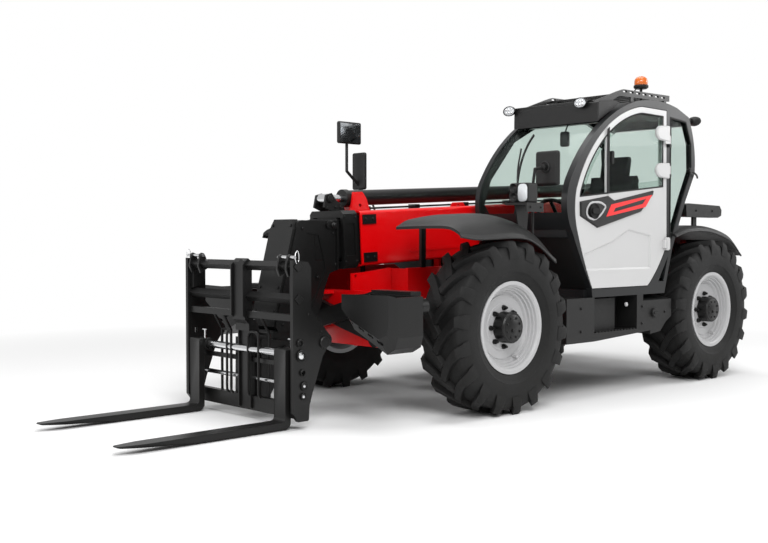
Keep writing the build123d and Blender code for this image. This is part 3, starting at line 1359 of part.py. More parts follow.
def foot(side):
    """Stabiliser foot: a folded shoe open at the top, with lightening holes and a pin boss."""
    body = foot_shell(side, 0)
    hollow = foot_shell(side, FOOT_WALL)
    body = body - hollow - (Pos(0, 0, 60) * hollow)
    for y, z in FOOT_HOLES:
        hole = rod_x(side * y, z, 15, 1080, 1200) + rod_x(side * (y + 26), z - 11, 15, 1080, 1200)
        body = body - (Pos(0, 0, 30) * hole)
    body = body - rod_x(side * 690, 700, 9, 1080, 1200)
    body = body + rod_x(side * FOOT_Y, FOOT_Z, 48, FOOT_X[0], FOOT_PIN_X + 4)
    return body - rod_x(side * FOOT_Y, FOOT_Z, 28.5, FOOT_X[0] - 5, FOOT_PIN_X + 2)


put("stabiliser_left", stabiliser(1))
put("stabiliser_right", stabiliser(-1))
put("foot_left", foot(1))
put("foot_right", foot(-1))

# ------------------------------------------------------------------ carriage
SIDE_START = (1536.0, 1119.0)
SIDE_OUT = (           # outline of a side plate
    ("l", (1408.0, 1107.0)),
    ("l", (1383.0, 1067.0)),
    ("l", (1383.0, 795.0)),
    ("l", (1228.0, 619.0)),
    ("a", (1206.0, 572.0), (1242.0, 534.0)),
    ("l", (1285.0, 475.0)),
    ("l", (1323.0, 370.0)),
    ("l", (1373.0, 237.0)),
    ("l", (1399.0, 152.0)),
    ("l", (1404.0, 62.0)),
    ("l", (1414.0, 55.0)),
    ("l", (1492.0, 55.0)),
    ("l", (1536.0, 112.0)),
)
BARS = (               # x, z, half size of a square bar, turned on edge
    (1497.0, 1078.0, 24.0, 1),
    (1490.0, 864.0, 24.0, 1),
    (1492.0, 739.0, 22.0, 0),
    (1452.0, 420.0, 15.0, 0),
)
MAST_Y = (-171.0, -10.0)
EAR_Y = (127.0, 157.0)


def carriage():
    """Fork carriage: side plates, bars set on edge, centre mast and hitch ears."""
    y0 = CAR_Y0
    y1 = CAR_Y1
    plate = slab(SIDE_START, SIDE_OUT, y0, y0 + CAR_T) + slab(SIDE_START, SIDE_OUT, y1 - CAR_T, y1)
    plate = plate - box(1455, 1475, y0 - 5, y1 + 5, 560, 600) - rod_y(1454, 376, 11, y0 - 5, y1 + 5)
    body = plate
    for x, z, h, turned in BARS:
        b = Pos(x, (y0 + y1) / 2, z) * Rot(0, 45 * turned, 0) * Box(2 * h, y1 - y0 - 10, 2 * h)
        body = body + b
    beam = xz(((1400, 70), (1400, 150), (1425, 166), (1470, 166), (1470, 66), (1420, 62)), y0 + 5, y1 - 5)
    body = body + beam
    m0, m1 = MAST_Y
    mast = xz(((1470, 640), (1530, 700), (1530, 1100), (1500, 1125), (1470, 1100)), -165, -15)
    low = xz(((1412, 75), (1470, 75), (1470, 640), (1480, 690), (1440, 700), (1412, 640)), -165, -15)
    arrow = box(1462, 1500, m0, m1, 620, 756)
    bracket = box(1475, 1535, -80, -20, 730, 1090) + rod_x(-50, 1090, 30, 1475, 1535)
    body = body + mast + low + arrow + bracket
    for s in (1, -1):
        y = BOOM_Y + min(s * EAR_Y[0], s * EAR_Y[1])
        ear = xz(((1180, 410), (1200, 530), (1260, 545), (1420, 560), (1425, 90), (1395, 90)), y, y + 30)
        body = body + ear + rod_y(TILT_X, TILT_Z, 80, y, y + 30)
    for ya, yb in GUARD_LOOPS:
        loop = bent_bar(((1405, ya, 150), (1405, ya, 600), (1405, yb, 600), (1405, yb, 150)), 10)
        body = body + loop + bar((1405, ya, 600), (1480, ya, 735), 10) + bar((1405, yb, 600), (1480, yb, 735), 10)
    for y in (y0 + CAR_T - 1, y1 - CAR_T - 39):
        body = body + xz(((1420, 1010), (1510, 1060), (1510, 900), (1440, 920)), y, y + 40)
    body = body - rod_y(TILT_X, TILT_Z, TILT_R + 0.5, BOOM_Y - 200, BOOM_Y + 200)
    shaft = rod_y(SHAFT_X, SHAFT_Z, SHAFT_R + CLEAR, y0 + 8 - CLEAR, y1 - 8 + CLEAR)
    return body - shaft - rod_y(LOW_ROD[0], LOW_ROD[1], LOW_ROD[2] + CLEAR, y0 + 8 - CLEAR, y1 - 8 + CLEAR)


GUARD_LOOPS = ((-480.0, -365.0), (-47.0, 94.0))
LOW_ROD = (1447.0, 290.0, 16.0)


def fork_shaft():
    """Chrome shaft that the forks hang on, and the lower rod behind them."""
    shaft = rod_y(SHAFT_X, SHAFT_Z, SHAFT_R, CAR_Y0 + 8, CAR_Y1 - 8)
    return [shaft, rod_y(LOW_ROD[0], LOW_ROD[1], LOW_ROD[2], CAR_Y0 + 8, CAR_Y1 - 8)]


def fork(y0):
    """One fork: hanger eye, shank, heel and tapered blade."""
    x = FORK_FACE_X
    t = FORK_T
    start = (x - t, FORK_TOP_Z)
    side = (("l", (x, FORK_TOP_Z)), ("l", (x, 80)), ("a", (x + 7, 62), (x + 25, 55)), ("l", (x + 700, 55)),
            ("l", (FORK_TIP_X, 28)), ("l", (FORK_TIP_X, 18)), ("l", (x + 600, 10)), ("l", (x - t + 40, 10)),
            ("a", (x - t + 11, 22), (x - t, 52)))
    body = slab(start, side, y0, y0 + FORK_W)
    blade = ((x - 200, y0), (FORK_TIP_X - 180, y0), (FORK_TIP_X, y0 + 32), (FORK_TIP_X, y0 + FORK_W - 32),
             (FORK_TIP_X - 180, y0 + FORK_W), (x - 200, y0 + FORK_W))
    body = body & xy(blade, 0, 700)
    body = body + rod_y(SHAFT_X, SHAFT_Z, 42, y0, y0 + FORK_W)
    body = body + box(SHAFT_X, x - t + 1, y0, y0 + FORK_W, SHAFT_Z - 42, SHAFT_Z + 42)
    return body - rod_y(SHAFT_X, SHAFT_Z, SHAFT_R + 0.5, y0 - 5, y0 + FORK_W + 5)


put("carriage", carriage())
put("fork_shaft", fork_shaft())
put("fork_left", fork(FORK_Y[0]))
put("fork_right", fork(FORK_Y[1]))
print(len(SAY), "pieces written")
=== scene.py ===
"""Looks of a telescopic handler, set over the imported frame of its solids."""
import json
import math

import bmesh
import bpy
import numpy as np
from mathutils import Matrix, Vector


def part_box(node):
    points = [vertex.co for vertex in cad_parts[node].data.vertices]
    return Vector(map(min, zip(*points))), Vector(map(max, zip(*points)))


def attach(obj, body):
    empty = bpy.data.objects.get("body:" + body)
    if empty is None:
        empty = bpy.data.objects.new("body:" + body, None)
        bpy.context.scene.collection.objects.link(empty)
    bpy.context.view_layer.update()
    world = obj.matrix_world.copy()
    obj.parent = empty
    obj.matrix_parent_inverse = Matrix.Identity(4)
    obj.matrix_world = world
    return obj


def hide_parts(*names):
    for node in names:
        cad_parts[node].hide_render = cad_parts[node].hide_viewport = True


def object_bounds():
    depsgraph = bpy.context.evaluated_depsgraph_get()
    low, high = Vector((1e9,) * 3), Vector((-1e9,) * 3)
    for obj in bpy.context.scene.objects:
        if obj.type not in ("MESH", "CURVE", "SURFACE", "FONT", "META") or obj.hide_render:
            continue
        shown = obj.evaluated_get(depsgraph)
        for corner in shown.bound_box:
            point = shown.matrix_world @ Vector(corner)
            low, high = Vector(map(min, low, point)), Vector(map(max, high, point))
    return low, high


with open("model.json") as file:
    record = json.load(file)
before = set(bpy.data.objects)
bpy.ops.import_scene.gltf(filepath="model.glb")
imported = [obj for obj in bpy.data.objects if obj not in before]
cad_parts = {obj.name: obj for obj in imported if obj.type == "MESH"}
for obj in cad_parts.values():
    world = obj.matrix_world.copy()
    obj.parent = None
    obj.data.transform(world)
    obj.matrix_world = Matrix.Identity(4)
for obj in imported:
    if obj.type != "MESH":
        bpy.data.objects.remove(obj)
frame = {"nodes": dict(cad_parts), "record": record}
CAD_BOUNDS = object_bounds()
CAD_BOX = (Vector(CAD_BOUNDS[0]), Vector(CAD_BOUNDS[1]))

bl_info = {
    "name": "Telescopic handler",
    "version": (1, 0, 0),
    "blender": (4, 5, 0),
    "location": "View3D > Sidebar > Handler",
    "description": "Dresses the solids of a telescopic handler",
    "category": "Object",
}

WHEELS = ("front_left", "front_right", "rear_left", "rear_right")


# ------------------------------------------------------------------ settings
def paint(name, colour):
    """A colour that a user may change, as a property."""
    return bpy.props.FloatVectorProperty(
        name=name, description=f"Colour of the {name.lower()}", subtype="COLOR",
        size=3, min=0.0, max=1.0, default=srgb(colour))


def srgb(colour):
    """Linear values of a colour written as eight-bit sRGB."""
    c = np.array(colour) / 255.0
    low = c / 12.92
    high = ((c + 0.055) / 1.055) ** 2.4
    return tuple(float(v) for v in np.where(c <= 0.04045, low, high))


class HandlerColours(bpy.types.PropertyGroup):
    """Colours of the machine's finishes."""
    red: paint("Red paint", (236, 0, 6))
    black: paint("Black paint", (17, 17, 17))
    grey: paint("Cab frame", (27, 28, 29))
    door: paint("Door paint", (196, 196, 196))
    rim: paint("Rims", (178, 178, 179))
    plastic: paint("Moulded plastic", (22, 22, 22))
    rubber: paint("Tyre rubber", (14, 14, 14))
    glass: paint("Tinted glass", (222, 231, 227))
    amber: paint("Amber lens", (245, 120, 10))
    cloth: paint("Seat cloth", (38, 38, 40))


class HandlerSizes(bpy.types.PropertyGroup):
    """Sizes of the stage: the lens of the camera and the floor."""
    lens: bpy.props.FloatProperty(
        name="Lens", description="Focal length of the camera", default=48.17, min=10.0, max=200.0)
    floor: bpy.props.FloatProperty(
        name="Floor", description="Half width of the floor", default=60.0, unit="LENGTH")
    fade: bpy.props.FloatProperty(
        name="Floor fade", description="Where the floor has turned plain white", default=7.5, unit="LENGTH")


def colour(name):
    """One of the finishes' colours, as linear red, green and blue."""
    return tuple(getattr(bpy.context.scene.handler_colours, name))


def sizes():
    """The settings of sizes."""
    return bpy.context.scene.handler_sizes


# ------------------------------------------------------------- node building
def effect(name, inputs, outputs):
    """A shader node group with named sockets, its input node and its output node."""
    tree = bpy.data.node_groups.new(name, "ShaderNodeTree")
    for label, kind, value in inputs:
        s = tree.interface.new_socket(name=label, in_out="INPUT", socket_type=kind)
        s.default_value = value
    for label, kind in outputs:
        tree.interface.new_socket(name=label, in_out="OUTPUT", socket_type=kind)
    return tree, tree.nodes.new("NodeGroupInput"), tree.nodes.new("NodeGroupOutput")


def node(tree, kind, links=(), **values):
    """A node with plain values set and its inputs linked: links rows are (socket, source)."""
    n = tree.nodes.new(kind)
    for key, value in values.items():
        if hasattr(n, key):
            setattr(n, key, value)
        else:
            n.inputs[key.replace("_", " ").title()].default_value = value
    for socket, source in links:
        tree.links.new(source, n.inputs[socket])
    return n


def mapped(tree, source, low, high, to_low, to_high):
    """A value moved from one range to another and held inside it."""
    return node(tree, "ShaderNodeMapRange", [("Value", source)],
                From_Min=low, From_Max=high, To_Min=to_low, To_Max=to_high).outputs[0]


def tinted(tree, factor, first, second):
    """Two colours mixed by a factor; each is a socket or a plain colour."""
    mix = tree.nodes.new("ShaderNodeMix")
    mix.data_type = "RGBA"
    tree.links.new(factor, mix.inputs[0])
    for i, c in ((6, first), (7, second)):
        if isinstance(c, bpy.types.NodeSocket):
            tree.links.new(c, mix.inputs[i])
        else:
            mix.inputs[i].default_value = (*c, 1.0)
    return mix.outputs[2]


FLOAT, COLOUR, VECTOR = "NodeSocketFloat", "NodeSocketColor", "NodeSocketVector"


def finish_group():
    """Cloudy tone, speckled gloss and orange peel of a coated or moulded surface, with dust low down."""
    tree, inp, out = effect("surface_finish", (
        ("Colour", COLOUR, (0.5, 0.5, 0.5, 1)), ("Tone", FLOAT, 0.1), ("Tone scale", FLOAT, 3.0),
        ("Gloss low", FLOAT, 0.3), ("Gloss high", FLOAT, 0.45), ("Grain scale", FLOAT, 300.0),
        ("Dust", FLOAT, 0.2), ("Dust top", FLOAT, 0.9), ("Wear", FLOAT, 0.3),
        ("Wear colour", COLOUR, (0.2, 0.2, 0.2, 1)),
    ), (("Colour", COLOUR), ("Roughness", FLOAT), ("Height", FLOAT)))
    where = node(tree, "ShaderNodeTexCoord").outputs["Object"]
    cloud = node(tree, "ShaderNodeTexNoise", [("Vector", where), ("Scale", inp.outputs["Tone scale"])],
                 Detail=5.0, Roughness=0.6).outputs[0]
    grain = node(tree, "ShaderNodeTexNoise", [("Vector", where), ("Scale", inp.outputs["Grain scale"])],
                 Detail=2.0).outputs[0]
    swing = node(tree, "ShaderNodeMath", [(0, cloud)], operation="SUBTRACT")
    swing.inputs[1].default_value = 0.5
    shift = node(tree, "ShaderNodeMath", [(0, swing.outputs[0]), (1, inp.outputs["Tone"])],
                 operation="MULTIPLY")
    value = node(tree, "ShaderNodeMath", [(0, shift.outputs[0])], operation="ADD")
    value.inputs[1].default_value = 1.0
    toned = node(tree, "ShaderNodeHueSaturation", [("Color", inp.outputs["Colour"]),
                                                   ("Value", value.outputs[0])])
    sharp = node(tree, "ShaderNodeNewGeometry").outputs["Pointiness"]
    edge = mapped(tree, sharp, 0.54, 0.62, 0.0, 1.0)
    worn = node(tree, "ShaderNodeMath", [(0, edge), (1, inp.outputs["Wear"])], operation="MULTIPLY")
    rubbed = tinted(tree, worn.outputs[0], toned.outputs[0], inp.outputs["Wear colour"])
    high = node(tree, "ShaderNodeSeparateXYZ", [(0, where)]).outputs[2]
    low = node(tree, "ShaderNodeMapRange", [("Value", high), ("From Max", inp.outputs["Dust top"])],
               From_Min=0.0, To_Min=1.0, To_Max=0.0).outputs[0]
    patch = mapped(tree, cloud, 0.35, 0.75, 0.2, 1.0)
    dust = node(tree, "ShaderNodeMath", [(0, low), (1, patch)], operation="MULTIPLY")
    dusty = node(tree, "ShaderNodeMath", [(0, dust.outputs[0]), (1, inp.outputs["Dust"])],
                 operation="MULTIPLY")
    final = tinted(tree, dusty.outputs[0], rubbed, srgb((120, 112, 100)))
    spot = node(tree, "ShaderNodeMath", [(0, grain), (1, cloud)], operation="MULTIPLY")
    rough = node(tree, "ShaderNodeMapRange", [("Value", spot.outputs[0]),
                                              ("To Min", inp.outputs["Gloss low"]),
                                              ("To Max", inp.outputs["Gloss high"])], From_Min=0.12,
                 From_Max=0.4)
    tree.links.new(final, out.inputs["Colour"])
    tree.links.new(rough.outputs[0], out.inputs["Roughness"])
    tree.links.new(grain, out.inputs["Height"])
    return tree


FINISHED = "_finish"   # sets these apart from the plain materials that come with the frame
# name, colour, tone, tone scale, gloss low, gloss high,
# grain scale, bump m, metallic, coat, dust, wear.
FINISHES = (
    ("red_paint", "red", 0.10, 1.5, 0.26, 0.36, 260.0, 0.00004, 0.0, 0.35, 0.02, 0.1),
    ("black_paint", "black", 0.22, 2.5, 0.30, 0.42, 320.0, 0.00005, 0.0, 0.0, 0.02, 0.2),
    ("dark_grey_paint", "grey", 0.16, 2.0, 0.28, 0.38, 320.0, 0.00004, 0.0, 0.0, 0.02, 0.15),
    ("door_paint", "door", 0.05, 1.5, 0.30, 0.40, 300.0, 0.00003, 0.0, 0.1, 0.04, 0.1),
    ("rim_paint", "rim", 0.08, 4.0, 0.32, 0.44, 300.0, 0.00004, 0.0, 0.0, 0.04, 0.15),
    ("black_plastic", "plastic", 0.18, 3.0, 0.40, 0.54, 900.0, 0.00010, 0.0, 0.0, 0.02, 0.15),
    ("tyre_rubber", "rubber", 0.25, 6.0, 0.58, 0.74, 500.0, 0.0002, 0.0, 0.0, 0.02, 0.1),
    ("seat_cloth", "cloth", 0.3, 12.0, 0.80, 0.95, 1400.0, 0.0004, 0.0, 0.0, 0.0, 0.1),
)


def blank(name):
    """A new finish: its material, its nodes and its shader."""
    m = bpy.data.materials.new(name + FINISHED)
    m.use_nodes = True
    return m, m.node_tree, m.node_tree.nodes["Principled BSDF"]


def noise(tree, **values):
    """Noise fixed to the object."""
    where = node(tree, "ShaderNodeTexCoord").outputs["Object"]
    return node(tree, "ShaderNodeTexNoise", [("Vector", where)], **values).outputs[0]


def coated(tree_group, row):
    """A painted, moulded or rubber finish from one row of the table."""
    name, tint, tone, scale, low, high, grain, bump, metal, coat, dust, wear = row
    m, t, shader = blank(name)
    g = t.nodes.new("ShaderNodeGroup")
    g.node_tree = tree_group
    base = colour(tint)
    light = tuple(min(1.0, 1.35 * c + 0.008) for c in base)
    for key, value in (("Colour", (*base, 1)), ("Tone", tone), ("Tone scale", scale), ("Gloss low", low),
                       ("Gloss high", high), ("Grain scale", grain), ("Dust", dust), ("Wear", wear),
                       ("Wear colour", (*light, 1))):
        g.inputs[key].default_value = value
    t.links.new(g.outputs["Colour"], shader.inputs["Base Color"])
    t.links.new(g.outputs["Roughness"], shader.inputs["Roughness"])
    b = node(t, "ShaderNodeBump", [("Height", g.outputs["Height"])], Strength=0.5, Distance=bump * 10)
    t.links.new(b.outputs[0], shader.inputs["Normal"])
    if tint == "red":
        # Painted bounce light: diffuse rays see the red paint as dark grey, so it throws no red bounce light
        # onto the floor and nearby parts, and their shade stays neutral and darker. The camera still sees the
        # red.
        ray = node(t, "ShaderNodeLightPath").outputs["Is Diffuse Ray"]
        seen = node(t, "ShaderNodeMix", data_type="RGBA")
        seen.inputs[7].default_value = (0.08, 0.075, 0.075, 1)
        t.links.new(ray, seen.inputs[0])
        t.links.new(g.outputs["Colour"], seen.inputs[6])
        t.links.new(seen.outputs[2], shader.inputs["Base Color"])
    shader.inputs["Metallic"].default_value = metal
    shader.inputs["Coat Weight"].default_value = coat
    shader.inputs["Coat Roughness"].default_value = 0.08
    shader.inputs["Specular IOR Level"].default_value = 0.5 if max(base) > 0.2 else 0.3
    return m


def glazing():
    """Tinted flat glass that lets most light through."""
    m, t, shader = blank("green_glass")
    film = noise(t, Scale=2.5, Detail=3.0)
    t.links.new(tinted(t, film, colour("glass"), tuple(0.93 * c for c in colour("glass"))),
                shader.inputs["Base Color"])
    t.links.new(mapped(t, film, 0.3, 0.7, 0.01, 0.05), shader.inputs["Roughness"])
    shader.inputs["Transmission Weight"].default_value = 1.0
    shader.inputs["Specular IOR Level"].default_value = 0.35
    shader.inputs["IOR"].default_value = 1.08
    return m


def polished(name, scale, light, shade, low, high):
    """Bare bright metal, with faint lines or haze."""
    m, t, shader = blank(name)
    haze = noise(t, Scale=scale, Detail=3.0)
    t.links.new(tinted(t, haze, srgb(light), srgb(shade)), shader.inputs["Base Color"])
    t.links.new(mapped(t, haze, 0.3, 0.7, low, high), shader.inputs["Roughness"])
    shader.inputs["Metallic"].default_value = 1.0
    return m


def lens(name, tint, through, rough):
    """A moulded lamp lens with fine ribs."""
    m, t, shader = blank(name)
    where = node(t, "ShaderNodeTexCoord").outputs["Object"]
    ribs = node(t, "ShaderNodeTexWave", [("Vector", where)], Scale=60.0, bands_direction="Y").outputs[1]
    cloud = noise(t, Scale=40.0)
    t.links.new(tinted(t, cloud, tint, tuple(0.82 * c for c in tint)), shader.inputs["Base Color"])
    t.links.new(mapped(t, cloud, 0.3, 0.7, rough, rough + 0.1), shader.inputs["Roughness"])
    b = node(t, "ShaderNodeBump", [("Height", ribs)], Strength=0.3, Distance=0.001)
    t.links.new(b.outputs[0], shader.inputs["Normal"])
    shader.inputs["Transmission Weight"].default_value = through
    shader.inputs["Coat Weight"].default_value = 0.4
    return m


def rough_casting():
    """Bare cast block seen through gaps."""
    m, t, shader = blank("cast_block")
    sand = noise(t, Scale=90.0, Detail=6.0)
    t.links.new(tinted(t, sand, srgb((60, 61, 62)), srgb((84, 84, 82))), shader.inputs["Base Color"])
    b = node(t, "ShaderNodeBump", [("Height", sand)], Strength=0.5, Distance=0.002)
    t.links.new(b.outputs[0], shader.inputs["Normal"])
    shader.inputs["Roughness"].default_value = 0.7
    return m


def material(name):
    """A finish by name; all of them are built at the first call."""
    if name + FINISHED not in bpy.data.materials:
        group = finish_group()
        for row in FINISHES:
            coated(group, row)
        glazing()
        polished("chrome_rod", 60.0, (232, 232, 232), (205, 207, 210), 0.10, 0.22)
        polished("mirror_silver", 14.0, (214, 218, 221), (196, 201, 205), 0.03, 0.09)
        lens("amber_lens", colour("amber"), 0.25, 0.12)
        lens("lamp_plastic", srgb((226, 229, 232)), 0.1, 0.1)
        rough_casting()
    return bpy.data.materials[name + FINISHED]


# ---------------------------------------------------------------- operators
class HANDLER_OT_stage(bpy.types.Operator):
    """Pale floor, soft lamps, white surroundings and the camera."""
    bl_idname = "handler.stage"
    bl_label = "Stage"

    def execute(self, context):
        centre = (CAD_BOX[0] + CAD_BOX[1]) / 2
        half = sizes().floor
        mesh = bpy.data.meshes.new("floor")
        mesh.from_pydata([(-half, -half, 0), (half, -half, 0), (half, half, 0), (-half, half, 0)], [],
                         [(0, 1, 2, 3)])
        floor = bpy.data.objects.new("floor", mesh)
        context.scene.collection.objects.link(floor)
        floor.data.materials.append(floor_material(centre))
        lamps()
        surroundings(context.scene)
        camera(context.scene)
        context.scene.view_settings.view_transform = "Standard"
        return {"FINISHED"}


def floor_material(centre):
    """White floor that keeps the shadow and turns plain white away from the machine."""
    m = bpy.data.materials.new("floor_white" + FINISHED)
    m.use_nodes = True
    t = m.node_tree
    t.nodes.remove(t.nodes["Principled BSDF"])
    where = node(t, "ShaderNodeTexCoord").outputs["Object"]
    away = node(t, "ShaderNodeVectorMath", [(0, where)], operation="DISTANCE")
    away.inputs[1].default_value = (centre.x, centre.y, 0.0)
    fade = mapped(t, away.outputs["Value"], sizes().fade * 0.45, sizes().fade, 0.0, 1.0)
    matt = node(t, "ShaderNodeBsdfDiffuse", Color=(0.93, 0.93, 0.93, 1))
    plain = node(t, "ShaderNodeEmission", Color=(1, 1, 1, 1), Strength=1.0)
    mix = node(t, "ShaderNodeMixShader", [(0, fade), (1, matt.outputs[0]), (2, plain.outputs[0])])
    out = t.nodes["Material Output"]
    t.links.new(mix.outputs[0], out.inputs["Surface"])
    return m


LAMPS = (  # name, place, aim, width, height, power
    ("key", (4.5, 6.5, 6.5), (0.0, 0.3, 1.0), 5.0, 4.0, 520.0),
    ("front", (8.0, -2.5, 4.0), (0.8, -0.2, 1.0), 4.0, 3.0, 200.0),
    ("top", (-1.0, 0.0, 8.5), (-0.5, 0.0, 1.0), 8.0, 5.0, 420.0),
    ("rear", (-7.0, 4.0, 4.0), (-1.5, 0.2, 1.2), 4.0, 3.0, 160.0),
)


def lamps():
    """Soft area lamps round the machine."""
    for name, place, aim, width, height, power in LAMPS:
        data = bpy.data.lights.new(name, "AREA")
        data.shape = "RECTANGLE"
        data.size = width
        data.size_y = height
        data.energy = power
        lamp = bpy.data.objects.new(name, data)
        lamp.location = place
        lamp.rotation_euler = (Vector(aim) - Vector(place)).to_track_quat("-Z", "Y").to_euler()
        bpy.context.scene.collection.objects.link(lamp)


def surroundings(scene):
    """White to the camera, to mirrors and through glass, and a soft grey light elsewhere."""
    world = bpy.data.worlds.new("studio")
    scene.world = world
    world.use_nodes = True
    t = world.node_tree
    path = node(t, "ShaderNodeLightPath")
    seen = node(t, "ShaderNodeMath", [(0, path.outputs["Is Camera Ray"]),
                                      (1, path.outputs["Is Transmission Ray"])], operation="MAXIMUM")
    glossy = node(t, "ShaderNodeMath", [(0, path.outputs["Is Glossy Ray"])], operation="MULTIPLY")
    glossy.inputs[1].default_value = 0.5
    shown = node(t, "ShaderNodeMath", [(0, seen.outputs[0]), (1, glossy.outputs[0])], operation="MAXIMUM")
    strength = mapped(t, shown.outputs[0], 0.0, 1.0, 0.36, 1.0)
    back = t.nodes["Background"]
    back.inputs["Color"].default_value = (1, 1, 1, 1)
    t.links.new(strength, back.inputs["Strength"])


def camera(scene):
    """Camera near the front left corner at about chest height."""
    data = bpy.data.cameras.new("camera")
    data.lens = sizes().lens
    data.sensor_width = 36.0
    data.clip_end = 200.0
    cam = bpy.data.objects.new("camera", data)
    cam.location = (5.981, 5.823, 1.268)
    cam.rotation_euler = (math.radians(90.0 - 1.889), 0.0, math.radians(227.01 - 90.0))
    scene.collection.objects.link(cam)
    scene.camera = cam


class HANDLER_OT_finishes(bpy.types.Operator):
    """Gives each carried-over solid the finish of its material slot."""
    bl_idname = "handler.finishes"
    bl_label = "Finishes"

    def execute(self, context):
        for part in frame["record"]["subparts"]:
            solid = frame["nodes"][part["node"]]
            solid.data.materials.clear()
            solid.data.materials.append(material(part["material_slot"]))
        return {"FINISHED"}


# ------------------------------------------------------------ surface making
AXLE = (Vector(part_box("rim_front_left")[0]) + Vector(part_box("rim_front_left")[1])) / 2


def quads(rows, cols, ring_rows=False, ring_cols=False):
    """Faces of a grid of points numbered row by row; a ring joins its last line to its first."""
    r = np.arange(rows if ring_rows else rows - 1)
    c = np.arange(cols if ring_cols else cols - 1)
    r, c = np.meshgrid(r, c, indexing="ij")
    r1, c1 = (r + 1) % rows, (c + 1) % cols
    return np.stack([r * cols + c, r * cols + c1, r1 * cols + c1, r1 * cols + c], -1).reshape(-1, 4)


def piece(name, chunks, slot, body, crease=35.0, replaces=None):
    """One object from chunks of (points, faces) given from under the front axle, smooth up to the crease."""
    points = np.concatenate([np.asarray(v, float).reshape(-1, 3) for v, _ in chunks])
    points[:, 0] += AXLE.x
    faces, start = [], 0
    for v, f in chunks:
        faces += [[int(i) + start for i in row] for row in f]
        start += len(np.asarray(v).reshape(-1, 3))
    mesh = bpy.data.meshes.new(name)
    mesh.from_pydata(points.tolist(), [], faces)
    made = bmesh.new()
    made.from_mesh(mesh)
    bmesh.ops.recalc_face_normals(made, faces=made.faces)
    made.to_mesh(mesh)
    made.free()
    mesh.polygons.foreach_set("use_smooth", [True] * len(mesh.polygons))
    mesh.set_sharp_from_angle(angle=math.radians(crease))
    obj = bpy.data.objects.new(name, mesh)
    bpy.context.scene.collection.objects.link(obj)
    obj.data.materials.append(material(slot))
    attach(obj, body)
    if replaces:
        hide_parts(*replaces)
    return obj


def lathe(profile, centre, axis=(0, 1, 0), count=48, closed=True):
    """Surface of revolution: the point at turn a is centre + h times the axis + r (cos a, sin a) across."""
    profile = np.asarray(profile, float)
    n, u, v = across(axis)
    a = np.linspace(0, 2 * np.pi, count, endpoint=False)
    ring = np.cos(a)[:, None] * u + np.sin(a)[:, None] * v
    pts = np.asarray(centre, float) + profile[None, :, :1] * n + profile[None, :, 1:] * ring[:, None, :]
    return pts, quads(count, len(profile), True, closed)


def capped(*rows):
    """Rows of a turned shape, carried on to the axis at its far end and back along it."""
    return rows + ((rows[-1][0], CORE), (rows[0][0], CORE))


def across(axis):
    """A unit vector along the axis and two more square to it."""
    n = np.asarray(axis, float)
    n = n / np.linalg.norm(n)
    side = np.array((0.0, 0, 1)) if abs(n[2]) < 0.9 else np.array((1.0, 0, 0))
    u = np.cross(side, n)
    u = u / np.linalg.norm(u)
    return n, u, np.cross(n, u)


def smooth_path(points, steps=8):
    """Points on the curve through the given ones: cubics whose slopes are half the neighbours' chord."""
    p = np.asarray(points, float)
    q = np.concatenate([2 * p[:1] - p[1:2], p, 2 * p[-1:] - p[-2:-1]])
    t = np.linspace(0, 1, steps, endpoint=False)[:, None, None]
    a, b, c, d = q[:-3], q[1:-2], q[2:-1], q[3:]
    square, cube = 2 * a - 5 * b + 4 * c - d, 3 * b - a - 3 * c + d
    run = 0.5 * (2 * b + (c - a) * t + square * t ** 2 + cube * t ** 3)
    return np.concatenate([run.transpose(1, 0, 2).reshape(-1, 3), p[-1:]])


def swept(path, section, up=(0, 0, 1)):
    """A section carried along a path: point = path + s across + t upward, square to the path; ends closed."""
    path = np.asarray(path, float)
    section = np.asarray(section, float)
    along = np.gradient(path, axis=0)
    along = along / np.linalg.norm(along, axis=1, keepdims=True)
    side = np.cross(along, np.asarray(up, float))
    side = side / np.linalg.norm(side, axis=1, keepdims=True)
    top = np.cross(side, along)
    pts = path[:, None, :] + section[None, :, :1] * side[:, None, :] + section[None, :, 1:] * top[:, None, :]
    n, m = len(path), len(section)
    faces = quads(n, m, False, True).tolist()
    return pts, faces + [list(range(m))[::-1], [(n - 1) * m + i for i in range(m)]]


def circle(r, count=10):
    """A round section: (r cos a, r sin a)."""
    a = np.linspace(0, 2 * np.pi, count, endpoint=False)
    return np.stack([r * np.cos(a), r * np.sin(a)], -1)


def rounded(w, h, r, count=4):
    """A rectangular section w by h with its corners turned to radius r."""
    a = np.linspace(0, np.pi / 2, count)
    turns = [np.stack([np.cos(a + k * np.pi / 2), np.sin(a + k * np.pi / 2)], -1) * r for k in range(4)]
    mids = np.array([(w / 2 - r, h / 2 - r), (r - w / 2, h / 2 - r), (r - w / 2, r - h / 2),
                     (w / 2 - r, r - h / 2)])
    return np.concatenate([t + m for t, m in zip(turns, mids)])


SIDEWAYS = ((1, 0, 0), (0, 0, 1))   # the two ways of an outline drawn in X and Z
AHEAD = ((0, 1, 0), (0, 0, 1))      # and in Y and Z
CORE = 0.0001                       # radius at which a turned shape closes on its axis


def plate(outline, origin, u, v, depth, edge=0.002):
    """A flat plate: its outline in the plane of u and v, carried along their cross product, rims drawn in."""
    o = np.asarray(outline, float)
    u, v = np.asarray(u, float), np.asarray(v, float)
    n = np.cross(u, v)
    mid = o.mean(axis=0)
    small = mid + (o - mid) * (1 - edge / np.linalg.norm(o - mid, axis=1, keepdims=True))
    layers = ((small, 0.0), (o, edge), (o, depth - edge), (small, depth))
    pts = np.stack([np.asarray(origin, float) + s[:, :1] * u + s[:, 1:] * v + h * n for s, h in layers])
    m = len(o)
    faces = quads(4, m, False, True).tolist()
    return pts, faces + [list(range(m))[::-1], [3 * m + i for i in range(m)]]


def upright(outline, y, depth, edge=0.002):
    """A plate drawn in X and Z whose face is at y."""
    return plate(outline, (0, y, 0), *SIDEWAYS, depth, edge)


